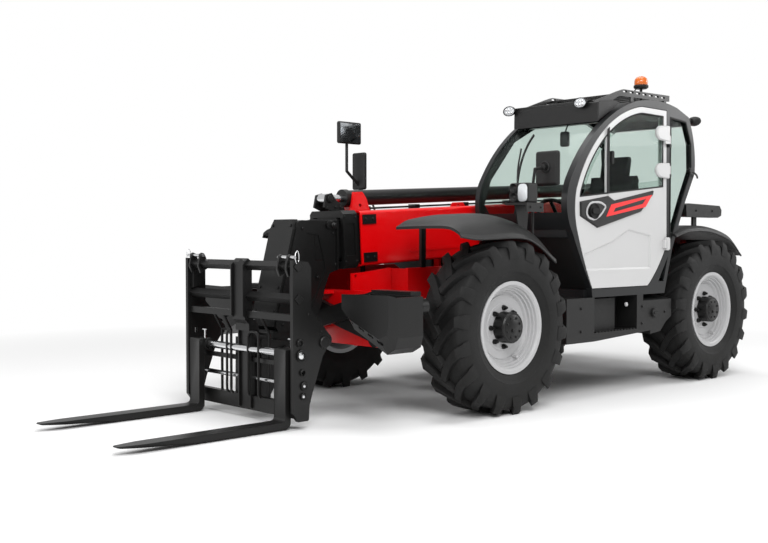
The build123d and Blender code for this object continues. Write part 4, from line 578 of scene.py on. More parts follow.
def bolt(place, axis, r):
    """Bolt head of across-corner radius r on its washer: rings of (height, radius) in units of r."""
    n, u, v = across(axis)
    a = np.linspace(0, 2 * np.pi, 12, endpoint=False)
    round_ring = np.cos(a)[:, None] * u + np.sin(a)[:, None] * v
    reach = np.cos(np.pi / 6) / np.cos((a % (np.pi / 3)) - np.pi / 6)
    hex_ring = round_ring * reach[:, None]
    rows = [(0.0, 1.45, round_ring), (0.2, 1.45, round_ring), (0.2, 1.0, hex_ring), (0.8, 1.0, hex_ring),
            (0.9, 0.86, hex_ring)]
    pts = np.stack([np.asarray(place, float) + h * r * n + s * r * ring for h, s, ring in rows])
    faces = quads(len(rows), 12, False, True).tolist()
    return pts, faces + [[(len(rows) - 1) * 12 + i for i in range(12)]]


# --------------------------------------------------------------------- tyres
WALL = (  # half of the carcass from the bead outward: distance from the wheel plane, radius, metres
    (0.142, 0.3075), (0.152, 0.325), (0.166, 0.348), (0.181, 0.376), (0.188, 0.396), (0.1925, 0.400),
    (0.195, 0.416), (0.1975, 0.445), (0.198, 0.478), (0.194, 0.515), (0.186, 0.548), (0.174, 0.575),
    (0.158, 0.587), (0.120, 0.5895), (0.060, 0.590), (0.0, 0.590),
)
# A tread bar from toe to nose: distance from the wheel plane, top radius, root radius, lead deg, half width,
# slant deg.
BAR = (
    (0.1990, 0.505, 0.495, -0.3, 0.041, 0.0), (0.1995, 0.535, 0.515, -0.2, 0.041, 0.0),
    (0.1960, 0.575, 0.548, 0.0, 0.040, 0.0), (0.1850, 0.612, 0.568, 0.3, 0.038, 2.0),
    (0.1740, 0.6235, 0.578, 0.8, 0.036, 7.0), (0.1420, 0.6240, 0.584, 3.0, 0.0320, 22.0),
    (0.1060, 0.6245, 0.585, 6.0, 0.0295, 30.0), (0.0700, 0.6248, 0.585, 9.6, 0.0280, 36.0),
    (0.0350, 0.6249, 0.585, 13.8, 0.0270, 40.0), (0.0050, 0.6249, 0.585, 17.8, 0.0265, 43.0),
    (-0.0180, 0.6249, 0.585, 21.2, 0.0265, 45.0),
)
BAR_SECTION = (  # across a bar: share of the half width, share of the height
    (-1.30, 0.0), (-1.10, 0.55), (-1.0, 0.92), (-0.93, 1.0), (0.0, 1.0), (0.93, 1.0), (1.0, 0.92),
    (1.10, 0.55), (1.30, 0.0),
)
BARS_A_SIDE = 18


def wheel_point(centre, y, r, a):
    """Place at distance y, radius r and angle a forward of the top of a wheel: (r sin a, y, r cos a)."""
    return np.stack([centre[0] + r * np.sin(a), centre[1] + y, centre[2] + r * np.cos(a)], -1)


def tread_bars(centre, side):
    """Curved bars of one side: stations by section points, carried round the wheel at equal turns."""
    y, top, root, lead, half, slant = np.array(BAR).T
    sec = np.array(BAR_SECTION)
    turn = np.radians(360.0 / BARS_A_SIDE) * (np.arange(BARS_A_SIDE) + (0.0 if side > 0 else 0.5))
    reach = half[:, None] * sec[None, :, 0]
    r = root[:, None] + (top - root)[:, None] * sec[None, :, 1]
    yy = side * (y[:, None] + reach * np.sin(np.radians(slant))[:, None])
    aa = np.radians(lead + 2.5)[:, None] + reach * np.cos(np.radians(slant))[:, None] / top[:, None]
    pts = wheel_point(centre, np.broadcast_to(yy, (len(turn),) + yy.shape), r[None],
                      aa[None] + turn[:, None, None])
    n, m = yy.shape
    one = quads(n, m).tolist() + [list(range(m)), [(n - 1) * m + i for i in range(m)][::-1]]
    faces = [[i + k * n * m for i in f] for k in range(BARS_A_SIDE) for f in one]
    return pts, faces


class HANDLER_OT_tyres(bpy.types.Operator):
    """Four tyres with moulded walls and crossed curved bars, in place of the faceted ones."""
    bl_idname = "handler.tyres"
    bl_label = "Tyres"

    def execute(self, context):
        half = np.array(WALL)
        inner = np.stack([-half[::-1, 0], half[::-1, 1]], -1)[1:]
        outline = np.concatenate([half, inner])
        for where in WHEELS:
            low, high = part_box("rim_" + where)
            centre = [(a + b) / 2 for a, b in zip(low, high)]
            centre[0] -= AXLE.x
            chunks = [lathe(outline, centre, (0, 1, 0), 144)]
            chunks += [tread_bars(centre, s) for s in (1, -1)]
            piece("tread_" + where, chunks, "tyre_rubber", "wheel_" + where, 38.0, ("tyre_" + where,))
        return {"FINISHED"}


# --------------------------------------------------------------------- forks
FORK_SIDE = (  # side outline of a fork: forward of the front axle, height, metres
    (1.511, 0.060), (1.513, 0.040), (1.521, 0.023), (1.535, 0.013), (1.553, 0.010), (1.800, 0.010),
    (2.100, 0.011),
    (2.250, 0.014), (2.450, 0.024), (2.600, 0.033), (2.700, 0.039), (2.740, 0.042), (2.754, 0.046),
    (2.756, 0.051),
    (2.750, 0.055), (2.700, 0.055), (2.620, 0.055), (2.580, 0.055), (2.100, 0.055), (1.600, 0.055),
    (1.580, 0.056),
    (1.567, 0.061), (1.559, 0.070), (1.556, 0.082), (1.556, 0.500), (1.555, 0.528), (1.550, 0.534),
    (1.517, 0.534),
    (1.511, 0.527),
)
FORK_W = 0.125
FORK_Y = {"fork_left": 0.4145, "fork_right": -0.6105}


def fork_blade(y):
    """A fork: its side outline across the width, the width drawn in over the last stretch, rims chamfered."""
    o = np.array(FORK_SIDE)
    mid = np.array((1.9, 0.033))
    near = np.linalg.norm(o - mid, axis=1, keepdims=True)
    inner = o + (mid - o) / near * np.array((0.004, 0.004))
    draw = np.clip((o[:, 0] - 2.576) / 0.18, 0.0, 1.0) ** 1.3
    half = FORK_W / 2 - 0.032 * draw
    layers = [(inner, -half), (o, 0.004 - half), (o, half - 0.004), (inner, half)]
    pts = np.stack([np.stack([s[:, 0], y + w, s[:, 1]], -1) for s, w in layers])
    m = len(o)
    faces = quads(4, m, False, True).tolist()
    return pts, faces + [list(range(m))[::-1], [3 * m + i for i in range(m)]]


class HANDLER_OT_forks(bpy.types.Operator):
    """Two forks with a flat top and an underside that rises to the tip, with their hanger eyes."""
    bl_idname = "handler.forks"
    bl_label = "Forks"

    def execute(self, context):
        eye = ((-0.0625, 0.0275), (-0.0625, 0.038), (-0.0585, 0.042), (0.0585, 0.042), (0.0625, 0.038),
               (0.0625, 0.0275))
        neck = ((1.475, 0.452), (1.512, 0.452), (1.512, 0.533), (1.475, 0.533))
        for name, y in FORK_Y.items():
            chunks = [fork_blade(y), lathe(eye, (1.470, y, 0.492), count=40)]
            chunks.append(upright(neck, y + 0.060, 0.120))
            piece("blade_" + name, chunks, "black_paint", name, 32.0, (name,))
        return {"FINISHED"}


# ------------------------------------------------------------------- fenders
FRONT_SHELL = (  # over a front tyre: distance from the middle, then station and height of the top, metres
    (0.480, ((0.560, 1.345), (0.400, 1.405), (-0.040, 1.440), (-0.460, 1.320), (-0.632, 1.125))),
    (0.800, ((0.570, 1.350), (0.400, 1.405), (-0.040, 1.440), (-0.420, 1.330), (-0.610, 1.125))),
    (1.000, ((0.572, 1.345), (0.390, 1.365), (-0.045, 1.385), (-0.360, 1.288), (-0.560, 1.120))),
    (1.095, ((0.572, 1.312), (0.380, 1.300), (-0.050, 1.310), (-0.300, 1.218), (-0.500, 1.110))),
    (1.120, ((0.566, 1.279), (0.375, 1.262), (-0.052, 1.272), (-0.250, 1.222), (-0.470, 1.087))),
)
REAR_SHELL = (
    (0.480, ((-2.121, 1.310), (-2.346, 1.362), (-2.700, 1.372), (-3.096, 1.292), (-3.341, 1.120))),
    (1.000, ((-2.121, 1.310), (-2.346, 1.362), (-2.690, 1.372), (-3.091, 1.292), (-3.326, 1.120))),
    (1.095, ((-2.121, 1.300), (-2.346, 1.350), (-2.682, 1.352), (-3.051, 1.270), (-3.271, 1.120))),
    (1.120, ((-2.121, 1.282), (-2.346, 1.329), (-2.682, 1.326), (-3.037, 1.246), (-3.243, 1.107))),
)


def fender_shell(table, side, wall=0.020, lip=0.010):
    """A fender: curves through each row's stations and across the rows, a wall below, a bead at the rim."""
    rows = np.array([smooth_path([(x, side * y, z) for x, z in row], 8) for y, row in table])
    count = rows.shape[1]
    top = np.stack([smooth_path(rows[:, i], 6) for i in range(count)], 1)
    thick = np.full(len(top), wall)
    thick[-6:] = np.linspace(wall, lip, 6)
    low = top - np.stack([thick * 0, thick * 0, thick], -1)[:, None, :]
    n = len(top)
    size = n * count
    faces = quads(n, count).tolist() + [[size + i for i in f][::-1] for f in quads(n, count).tolist()]
    edge = np.concatenate([np.arange(count), np.arange(1, n) * count + count - 1,
                           (n - 1) * count + np.arange(count - 2, -1, -1), np.arange(n - 2, 0, -1) * count])
    near = np.roll(edge, -1)
    faces += np.stack([edge, near, near + size, edge + size], -1).tolist()
    bead = top[-1] + np.array((0, -side * 0.002, -0.006))
    return [(np.stack([top, low]), faces), swept(bead, circle(0.008, 8))]


FENDER_STAYS = (  # low and high corners of the bars that carry the fenders
    ((0.100, 0.302, 1.0405), (0.150, 0.328, 1.416)), ((0.100, 0.302, 1.394), (0.150, 0.620, 1.418)),
    ((0.100, -0.388, 0.988), (0.150, -0.362, 1.416)), ((0.100, -0.620, 1.394), (0.150, -0.362, 1.418)),
    ((-2.900, 0.3303, 1.186), (-2.850, 0.3583, 1.326)), ((-2.900, 0.3303, 1.302), (-2.850, 0.620, 1.326)),
    ((-2.900, -0.4183, 1.186), (-2.850, -0.3903, 1.326)), ((-2.900, -0.620, 1.302), (-2.850, -0.3903, 1.326)),
)


def block(low, high, edge=0.003):
    """A bar between two corners with its long rims drawn in."""
    (x0, y0, z0), (x1, y1, z1) = low, high
    e = edge
    ring = ((x0 + e, z0), (x1 - e, z0), (x1, z0 + e), (x1, z1 - e), (x1 - e, z1), (x0 + e, z1), (x0, z1 - e),
            (x0, z0 + e))
    return upright(ring, y1, y1 - y0, e)


class HANDLER_OT_fenders(bpy.types.Operator):
    """Four moulded fenders with domed tops and rolled rims, and the bars that carry them."""
    bl_idname = "handler.fenders"
    bl_label = "Fenders"

    def execute(self, context):
        chunks = []
        for side in (1, -1):
            chunks += fender_shell(FRONT_SHELL, side) + fender_shell(REAR_SHELL, side)
        chunks += [block(*row) for row in FENDER_STAYS]
        piece("fender_shells", chunks, "black_plastic", "chassis", 30.0, ("fenders",))
        return {"FINISHED"}


# -------------------------------------------------------------- boom and head
BOOM_TIP = np.array((0.530, -0.130, 1.260))
BOOM_DIP = math.radians(3.0)


def on_boom(points):
    """Points along, across and above the boom line, turned down by its dip and placed at its mouth."""
    p = np.atleast_2d(np.asarray(points, float))
    c, s = math.cos(BOOM_DIP), math.sin(BOOM_DIP)
    return np.stack([BOOM_TIP[0] + p[:, 0] * c + p[:, 2] * s, BOOM_TIP[1] + p[:, 1],
                     BOOM_TIP[2] - p[:, 0] * s + p[:, 2] * c], -1)


def tube_along(points, r, steps=8, count=10):
    """A hose or bent rod of radius r through the points."""
    return swept(smooth_path(points, steps), circle(r, count), (0.05, 0.11, 1.0))


def studs(rows):
    """Bolt heads from rows of (place, axis, radius)."""
    return [bolt(*row) for row in rows]


HEAD_BOLTS = ((0.735, 1.07), (0.76, 1.3), (0.905, 0.98), (1.01, 0.64), (1.225, 0.65), (1.12, 1.0),
              (1.045, 1.335))
BOOM_BOLTS = [((x, 0.2125, z), 0.0095) for x in (-0.120, -0.048) for z in (0.143, -0.143)]


class HANDLER_OT_boom(bpy.types.Operator):
    """Bolts, pipes, clamps and pin heads of the boom's three sections."""
    bl_idname = "handler.boom"
    bl_label = "Boom fittings"

    def execute(self, context):
        left, right = (0, 1, 0), (0, -1, 0)
        rows = []
        for (x, y, z), r in BOOM_BOLTS:
            rows += [(on_boom((x, s * y, z))[0], (0, s, 0), r) for s in (1, -1)]
        for x in (-3.24, -3.20, -0.115, -0.060):
            rows += [(on_boom((x, s * 0.036, 0.207))[0], (0, 0, 1), 0.009) for s in (1, -1)]
        piece("boom_bolts", studs(rows), "black_paint", "boom_outer")
        clamps = []
        for x in (-2.7, -2.1, -1.5, -0.9, -0.35):
            clamps.append(block(on_boom((x - 0.02, -0.185, 0.205))[0], on_boom((x + 0.02, -0.085, 0.240))[0]))
        pipes = [tube_along(on_boom([(x, y, 0.222) for x in (-3.1, -2.2, -1.3, -0.4, -0.1)]), 0.008, 3)
                 for y in (-0.165, -0.145, -0.125, -0.105)]
        piece("boom_pipes", clamps + pipes, "black_paint", "boom_outer")
        shaft = lathe(((0.0, 0.030), (0.010, 0.030), (0.012, 0.026), (0.020, 0.026), (0.022, CORE),
                       (0.0, CORE)), on_boom((0.175, 0.066, 0.307))[0], count=32)
        rows = [(on_boom((x, s * 0.194, z))[0], (0, s, 0), 0.009) for x in (0.045, 0.150)
                for z in (0.165, -0.165) for s in (1, -1)]
        rows += [(on_boom((x, 0.066, z))[0], left, 0.0085) for x, z in ((0.075, 0.240), (0.125, 0.243))]
        piece("collar_fixings", [shaft] + studs(rows), "black_paint", "boom_middle")
        face, back = 0.018, -0.278
        rows = [((x, face - 0.002, z), left, 0.011) for x, z in HEAD_BOLTS]
        rows += [((x, back + 0.002, z), right, 0.011) for x, z in HEAD_BOLTS]
        slope = math.radians(14.0)
        ahead = (math.cos(slope), 0.0, math.sin(slope))
        for z, y in ((1.355, -0.235), (1.355, -0.025), (0.910, -0.235), (0.910, -0.025), (0.741, -0.235),
                     (0.741, -0.025)):
            rows.append(((1.110 + (1.390 - z) * 0.262, y, z), ahead, 0.012))
        pin = lathe(capped((0.0, 0.046), (0.012, 0.046), (0.016, 0.042), (0.016, 0.020), (0.022, 0.016)),
                    (1.220, 0.054, 0.450), count=40)
        knob = lathe(capped((0.0, 0.020), (0.014, 0.020), (0.018, 0.015), (0.030, 0.015), (0.034, 0.010)),
                     (0.775, 0.032, 1.360), count=28)
        piece("head_fixings", studs(rows) + [pin, knob], "black_paint", "boom_inner")
        return {"FINISHED"}


# ------------------------------------------------------------------ carriage
PLATE_RINGS = (  # forward, height, outer radius, disc radius of the rings on a side plate
    (1.470, 0.492, 0.040, 0.024), (1.447, 0.290, 0.030, 0.011), (1.454, 0.221, 0.024, 0.011),
)


def oval(rows, place, facing, wide, high, count=40):
    """Oval body lying along Y: the ring at distance h along X is centre + s (wide cos a, high sin a)."""
    rows = np.asarray(rows, float)
    a = np.linspace(0, 2 * np.pi, count, endpoint=False)
    ring = np.stack([0 * a, wide * np.cos(a), high * np.sin(a)], -1)
    out = np.array((facing, 0.0, 0.0))
    pts = np.asarray(place, float) + rows[:, None, 1:] * ring + rows[:, None, :1] * out
    return pts, quads(len(rows), count, True, True)


def ring_boss(place, side, outer, hole):
    """A raised ring with a dished middle round a hole, standing out to a side."""
    rows = ((0.0, hole), (0.006, hole), (0.014, hole + 0.004), (0.016, outer - 0.003), (0.013, outer),
            (0.0, outer))
    return lathe(rows, place, (0, side, 0), 36)


GUARD_X = 1.494      # of the guard loops' uprights
GUARD_WIDE = 0.052   # of the right guard loop, which stops short of the fork at the inner end of its shift


class HANDLER_OT_carriage(bpy.types.Operator):
    """Rings, pins, ribs, guard loops and locking handles of the fork carriage."""
    bl_idname = "handler.carriage"
    bl_label = "Carriage fittings"

    def execute(self, context):
        dark, bright = [], []
        for y, side in ((0.530, 1), (-0.760, -1)):
            for x, z, outer, disc in PLATE_RINGS:
                dark.append(ring_boss((x, y, z), side, outer, disc))
                cap = ((0.0, disc), (0.009, disc), (0.011, disc - 0.003), (0.011, CORE), (0.0, CORE))
                bright.append(lathe(cap, (x, y, z), (0, side, 0), 32))
            for x, z in ((1.497, 1.078), (1.490, 0.864)):
                r = 0.0339
                mark = ((x - r, z), (x, z - r), (x + r, z), (x, z + r))
                y1 = y + (0.012 if side > 0 else 0.001)
                dark.append(upright(mark, y1, 0.013, 0.003))
            for x, z, r in ((1.483, 0.575, 0.026), (1.460, 0.378, 0.023)):
                dark.append(ring_boss((x, y, z), side, r, r - 0.011))
            cap = capped((0.0, 0.040), (0.012, 0.040), (0.018, 0.034))
            dark.append(lathe(cap, (1.275, y, 0.567), (0, side, 0), 40))
            for x, z in ((1.405, 0.760), (1.300, 0.640)):
                dark.append(bolt((x, y, z), (0, side, 0), 0.009))
        for y in (-0.165, -0.027):
            rib = ((1.528, 0.710), (1.548, 0.730), (1.548, 1.080), (1.528, 1.100))
            dark.append(upright(rib, y + 0.012, 0.012))
            rib = ((1.468, 0.075), (1.486, 0.085), (1.486, 0.610), (1.468, 0.630))
            dark.append(upright(rib, y + 0.012, 0.012))
        for y0, y1 in ((0.347, 0.466), (-0.720, -0.580)):
            for y in (y0 + 0.012, y1 - 0.012):
                ear = ((1.462, 1.040), (1.520, 1.010), (1.540, 1.060), (1.525, 1.148), (1.508, 1.158),
                       (1.488, 1.152), (1.470, 1.120))
                dark.append(upright(ear, y + 0.011, 0.020, 0.003))
            ends = (y0 - 0.012, y1 + 0.045) if y0 > 0 else (y0 - 0.045, y1 + 0.012)
            bright.append(tube_along([(1.505, y, 1.138) for y in np.linspace(*ends, 4)], 0.0115, 3, 14))
        for y in (0.536, -0.766):
            a = np.linspace(0, 2 * np.pi, 25)[:-1]
            ring = np.stack([1.505 + 0.016 * np.sin(a), y + 0 * a, 1.138 + 0.042 * np.cos(a)], -1)
            n = circle(0.0038, 8)
            spokes = ring - np.array((1.505, y, 1.138))
            spokes = spokes / np.linalg.norm(spokes, axis=1, keepdims=True)
            beside = n[None, :, 1:] * np.array((0, 1.0, 0))
            pts = ring[:, None, :] + n[None, :, :1] * spokes[:, None, :] + beside
            bright.append((pts, quads(24, 8, True, True)))
        for y, z in ((0.462, 0.560), (-0.560, 0.560)):
            bright.append(tube_along([(1.500, y, z - 0.03), (1.500, y, z), (1.500, y, z + 0.035)], 0.006, 3))
            bright.append(tube_along([(1.500, y - 0.026, z + 0.038), (1.500, y, z + 0.038),
                                      (1.500, y + 0.026, z + 0.038)], 0.006, 3))
        for ya, yb, low in ((-0.236 - GUARD_WIDE, -0.236, 0.165), (-0.033, 0.090, 0.165)):
            x = GUARD_X
            mid = (ya + yb) / 2
            loop = [(1.478, ya, low), (x, ya, low + 0.03), (x, ya, 0.30), (x, ya, 0.48), (x, ya, 0.575),
                    (x, ya + 0.018, 0.610),
                    (x, mid, 0.618), (x, yb - 0.018, 0.610), (x, yb, 0.575), (x, yb, 0.48), (x, yb, 0.30),
                    (x, yb, low + 0.03),
                    (1.478, yb, low)]
            dark.append(swept(smooth_path(loop, 4), circle(0.0095, 10), (0.9, 0.05, 0.1)))
        for y in (0.300, -0.520):
            dark.append(lathe(((-0.012, 0.0272), (-0.012, 0.036), (0.012, 0.036), (0.012, 0.0272)),
                              (1.470, y, 0.492), count=32))
        piece("carriage_steel", dark, "black_paint", "carriage")
        piece("carriage_pins", bright, "chrome_rod", "carriage", 40.0)
        return {"FINISHED"}


# ---------------------------------------------------------------------- hubs
class HANDLER_OT_hubs(bpy.types.Operator):
    """Chamfered hub covers with their screws."""
    bl_idname = "handler.hubs"
    bl_label = "Hub covers"

    def execute(self, context):
        cover = capped((0.0, 0.093), (0.004, 0.092), (0.0065, 0.088), (0.0065, 0.060), (0.009, 0.056))
        for where in WHEELS:
            low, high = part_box("hub_" + where)
            side = 1 if "left" in where else -1
            x, z = (low[0] + high[0]) / 2 - AXLE.x, (low[2] + high[2]) / 2
            y = (high[1] if side > 0 else low[1]) - side * 0.003
            chunks = [lathe(cover, (x, y, z), (0, side, 0), 64)]
            chunks += [bolt((x + 0.073 * math.cos(a), y + side * 0.006, z + 0.073 * math.sin(a)),
                            (0, side, 0), 0.0075) for a in np.radians(np.arange(8) * 45 + 22.5)]
            chunks.append(bolt((x + 0.012, y + side * 0.009, z - 0.020), (0, side, 0), 0.012))
            piece("cover_" + where, chunks, "black_paint", "wheel_" + where)
        return {"FINISHED"}


# ----------------------------------------------------------------------- cab
def arc(a, b, c, count=14):
    """Points on the circle through three points of a plane, from the first to the last."""
    a, b, c = (complex(*p) for p in (a, b, c))
    w = (c - a) / (b - a)
    centre = (b - a) * (w - abs(w) ** 2) / (2j * w.imag) + a
    r = a - centre
    turn = np.angle((c - centre) / r)
    mid = np.angle((b - centre) / r)
    turn = turn if 0 <= mid / turn <= 1 else turn - np.sign(turn) * 2 * np.pi
    p = centre + r * np.exp(1j * turn * np.linspace(0, 1, count))
    return np.stack([p.real, p.imag], -1)


DOOR_EDGE = np.concatenate([
    arc((-0.983, 0.872), (-0.876, 1.090), (-0.798, 1.289)), arc((-0.798, 1.289), (-0.757, 1.500),
                                                                (-0.775, 1.640)),
    arc((-0.775, 1.640), (-1.063, 2.058), (-1.647, 2.338), 28), np.array(((-2.019, 2.335), (-2.037, 1.211))),
    arc((-2.037, 1.211), (-1.930, 1.050), (-1.756, 0.872)),
])


def shifted(outline, d):
    """An outline moved inward by d along the bisectors of its corners."""
    p = np.asarray(outline, float)
    ahead = np.roll(p, -1, 0) - p
    ahead = ahead / np.linalg.norm(ahead, axis=1, keepdims=True).clip(1e-9)
    behind = np.roll(ahead, 1, 0)
    n0 = np.stack([-behind[:, 1], behind[:, 0]], -1)
    n1 = np.stack([-ahead[:, 1], ahead[:, 0]], -1)
    n = n0 + n1
    n = n / (n * n1).sum(1, keepdims=True).clip(0.3)
    area = (p[:, 0] * np.roll(p[:, 1], -1) - np.roll(p[:, 0], -1) * p[:, 1]).sum()
    return p + n * d * np.sign(area)


def distinct(points, gap=0.002):
    """A closed outline without points that repeat the one before."""
    p = np.asarray(points, float)
    keep = np.linalg.norm(p - np.roll(p, 1, 0), axis=1) > gap
    return p[keep]


def seal(outline, y, width, deep):
    """A strip that runs round a closed outline in the plane at y: two shifted copies, raised by deep."""
    o = distinct(outline)
    rings = ((o, 0.0), (o, deep * 0.6), (shifted(o, width * 0.25), deep), (shifted(o, width * 0.75), deep),
             (shifted(o, width), deep * 0.6), (shifted(o, width), 0.0))
    pts = np.stack([np.stack([q[:, 0], y + 0 * q[:, 0] + h, q[:, 1]], -1) for q, h in rings])
    return pts, quads(len(rings), len(o), True, True)


WAIST = ((-0.600, 1.558), (-2.100, 1.704))   # two points of the door's waist line, along and up


def window_edge():
    """Outline of the door's window: the door's outline drawn in, cut along the waist line."""
    o = shifted(distinct(DOOR_EDGE), 0.046)
    (x0, z0), (x1, z1) = WAIST
    slope = (z1 - z0) / (x1 - x0)
    waist = z0 + (o[:, 0] - x0) * slope
    up = o[:, 1] > waist
    start = int(np.argmax(up & ~np.roll(up, 1)))
    run = np.roll(o, -start, 0)[: int(up.sum())]
    ends = [(q[0], z0 + (q[0] - x0) * slope) for q in (run[0], run[-1])]
    return np.concatenate([ends[:1], run, ends[1:]])


class HANDLER_OT_cab(bpy.types.Operator):
    """Window seal, wiper, inner mirror, monitor, brow visor, latch, and the beacon with its cable."""
    bl_idname = "handler.cab"
    bl_label = "Cab fittings"

    def execute(self, context):
        quarter = ((-2.078, 1.215), (-2.078, 2.290), (-2.330, 2.270), (-2.420, 2.080), (-2.430, 1.850),
                   (-2.295, 1.610), (-2.105, 1.228))
        rubber = [seal(quarter, 1.0795, 0.016, 0.005)]
        piece("cab_seals", rubber, "tyre_rubber", "chassis")
        screen = []
        arm = [(-0.600, 0.640, 1.440), (-0.640, 0.640, 1.500), (-0.655, 0.600, 1.600), (-0.700, 0.560, 1.800),
               (-0.790, 0.520, 1.980)]
        screen.append(tube_along(arm, 0.007, 6))
        blade = [(-0.652, 0.590, 1.560), (-0.668, 0.585, 1.700), (-0.735, 0.565, 1.860),
                 (-0.835, 0.545, 2.000), (-0.950, 0.520, 2.100)]
        screen.append(swept(smooth_path(blade, 8), rounded(0.010, 0.020, 0.004), (1, 0, 0.3)))
        screen.append(lathe(capped((0, 0.018), (0.03, 0.018), (0.035, 0.013)), (-0.615, 0.640, 1.425),
                            (0.5, 0, 1), 24))
        inner = rounded(0.075, 0.120, 0.015)
        screen.append(plate(inner, (-1.140, 0.700, 2.065), *AHEAD, 0.030))
        screen.append(tube_along([(-1.130, 0.700, 2.120), (-1.150, 0.700, 2.160), (-1.180, 0.700, 2.200)],
                                 0.006, 4))
        monitor = rounded(0.170, 0.110, 0.012)
        screen.append(plate(monitor, (-1.000, 0.330, 1.620), *AHEAD, 0.030))
        screen.append(tube_along([(-0.985, 0.330, 1.565), (-0.960, 0.330, 1.500), (-0.930, 0.330, 1.430)],
                                 0.012, 4))
        piece("cab_trim", screen, "black_plastic", "chassis")
        cable = [(-1.910, 0.855, 2.535), (-1.930, 0.825, 2.520), (-1.965, 0.800, 2.480),
                 (-1.990, 0.790, 2.440), (-2.010, 0.780, 2.410)]
        piece("beacon_cable", [tube_along(cable, 0.005, 8)], "tyre_rubber", "chassis")
        cap = lathe(capped((0.0, 0.058), (0.006, 0.062), (0.020, 0.062), (0.026, 0.056)),
                    (-1.910, 0.900, 2.534), (0, 0, 1), 40)
        dome = lathe(((0.0, CORE), (0.0, 0.052), (0.010, 0.056), (0.034, 0.056), (0.054, 0.050),
                      (0.068, 0.036), (0.075, 0.018), (0.077, CORE)), (-1.910, 0.900, 2.558), (0, 0, 1), 48)
        piece("beacon_dome", [dome], "amber_lens", "chassis", 50.0, ("beacon",))
        wedge = ((-1.115, 2.185), (-1.115, 2.335), (-1.145, 2.352), (-1.300, 2.372), (-1.420, 2.360),
                 (-1.300, 2.285))
        piece("brow_visor", [upright(wedge, 1.030, 0.860, 0.008)], "black_plastic", "chassis")
        knob = lathe(((0.0, CORE), (0.0, 0.014), (0.020, 0.014), (0.026, 0.024), (0.040, 0.024),
                      (0.045, 0.018), (0.045, CORE)), (-2.351, 1.080, 1.847), (0, 1, 0), 32)
        lever = tube_along([(-2.351, 1.100, 1.847), (-2.410, 1.108, 1.835), (-2.470, 1.104, 1.812),
                            (-2.517, 1.085, 1.792)], 0.008, 5)
        piece("window_latch", [knob, lever], "black_plastic", "chassis")
        piece("beacon_collar", [cap], "black_plastic", "chassis")
        return {"FINISHED"}


DOOR_FACE = 1.0945   # outer skin of the door


class HANDLER_OT_door(bpy.types.Operator):
    """Door seals, the handle ring, the coloured stripe, hinge covers and the window's latch."""
    bl_idname = "handler.door"
    bl_label = "Door fittings"

    def execute(self, context):
        window = window_edge()
        dark = [seal(window, 1.0785, 0.012, 0.005)]
        latch = ((-1.205, 1.850), (-1.235, 1.852), (-1.240, 1.945), (-1.228, 1.955), (-1.208, 1.950))
        dark.append(upright(latch, 1.100, 0.028, 0.004))
        bar_line = ((-1.151, 1.615), (-1.179, 1.617), (-1.179, 2.140), (-1.151, 2.120))
        dark.append(upright(bar_line, 1.0965, 0.006, 0.001))
        piece("door_seals", dark, "tyre_rubber", "door")
        piece("window_border", [seal(shifted(window, 0.010), 1.0665, 0.050, 0.0025)], "green_glass", "door")
        hexagon = np.array(((-0.880, 1.500), (-0.930, 1.548), (-1.062, 1.553), (-1.150, 1.517),
                            (-1.075, 1.440), (-0.985, 1.398), (-0.905, 1.412), (-0.872, 1.450)))
        soft = np.concatenate([hexagon * 0.8 + np.roll(hexagon, 1, 0) * 0.2,
                               hexagon * 0.8 + np.roll(hexagon, -1, 0) * 0.2], 1)
        piece("handle_ring", [seal(soft.reshape(-1, 2), DOOR_FACE - 0.0005, 0.016, 0.005)], "rim_paint",
              "door")
        dial = capped((0.0, 0.062), (0.007, 0.062), (0.010, 0.058), (0.006, 0.050), (0.002, 0.046))
        disc = lathe(dial, (-0.985, DOOR_FACE - 0.001, 1.474), (0, 1, 0), 48)
        paddle = plate(rounded(0.085, 0.044, 0.014), (-0.985, DOOR_FACE + 0.018, 1.474), *SIDEWAYS, 0.018,
                       0.004)
        piece("door_handle", [disc, paddle], "tyre_rubber", "door")
        outer = np.array(((-1.140, 1.432), (-1.206, 1.530), (-1.789, 1.622), (-1.692, 1.520)))
        inner = np.array(((-1.235, 1.470), (-1.262, 1.503), (-1.700, 1.588), (-1.650, 1.545)))
        y0, y1 = DOOR_FACE - 0.0008, DOOR_FACE + 0.0012
        rings = ((outer, y0), (outer, y1), (inner, y1), (inner, y0))
        pts = np.stack([np.stack([q[:, 0], y + 0 * q[:, 0], q[:, 1]], -1) for q, y in rings])
        piece("door_stripe", [(pts, quads(4, 4, True, True))], "red_paint", "door")
        shells = []
        for z0 in (2.142, 1.831):
            s = np.linspace(-np.pi / 2, np.pi / 2, 13)
            dee = np.concatenate([np.stack([-1.905 + 0.066 * np.cos(s), z0 + 0.060 * np.sin(s)], -1),
                                  np.array(((-2.030, z0 + 0.066), (-2.034, z0 + 0.062), (-2.034, z0 - 0.062),
                                            (-2.030, z0 - 0.066)))])
            shells.append(upright(dee, 1.112, 0.034, 0.010))
        shells.append(plate(rounded(0.040, 0.110, 0.012), (-2.020, 1.116, 1.215), *SIDEWAYS, 0.036, 0.008))
        piece("hinge_covers", shells, "door_paint", "door")
        return {"FINISHED"}


# ------------------------------------------------------------- small fittings
# Across and height of the head lamps' eyes.
EYE_ROWS = [(s * 0.945, z) for s in (1, -1) for z in (1.562, 1.629)]
EYE_X = -0.197


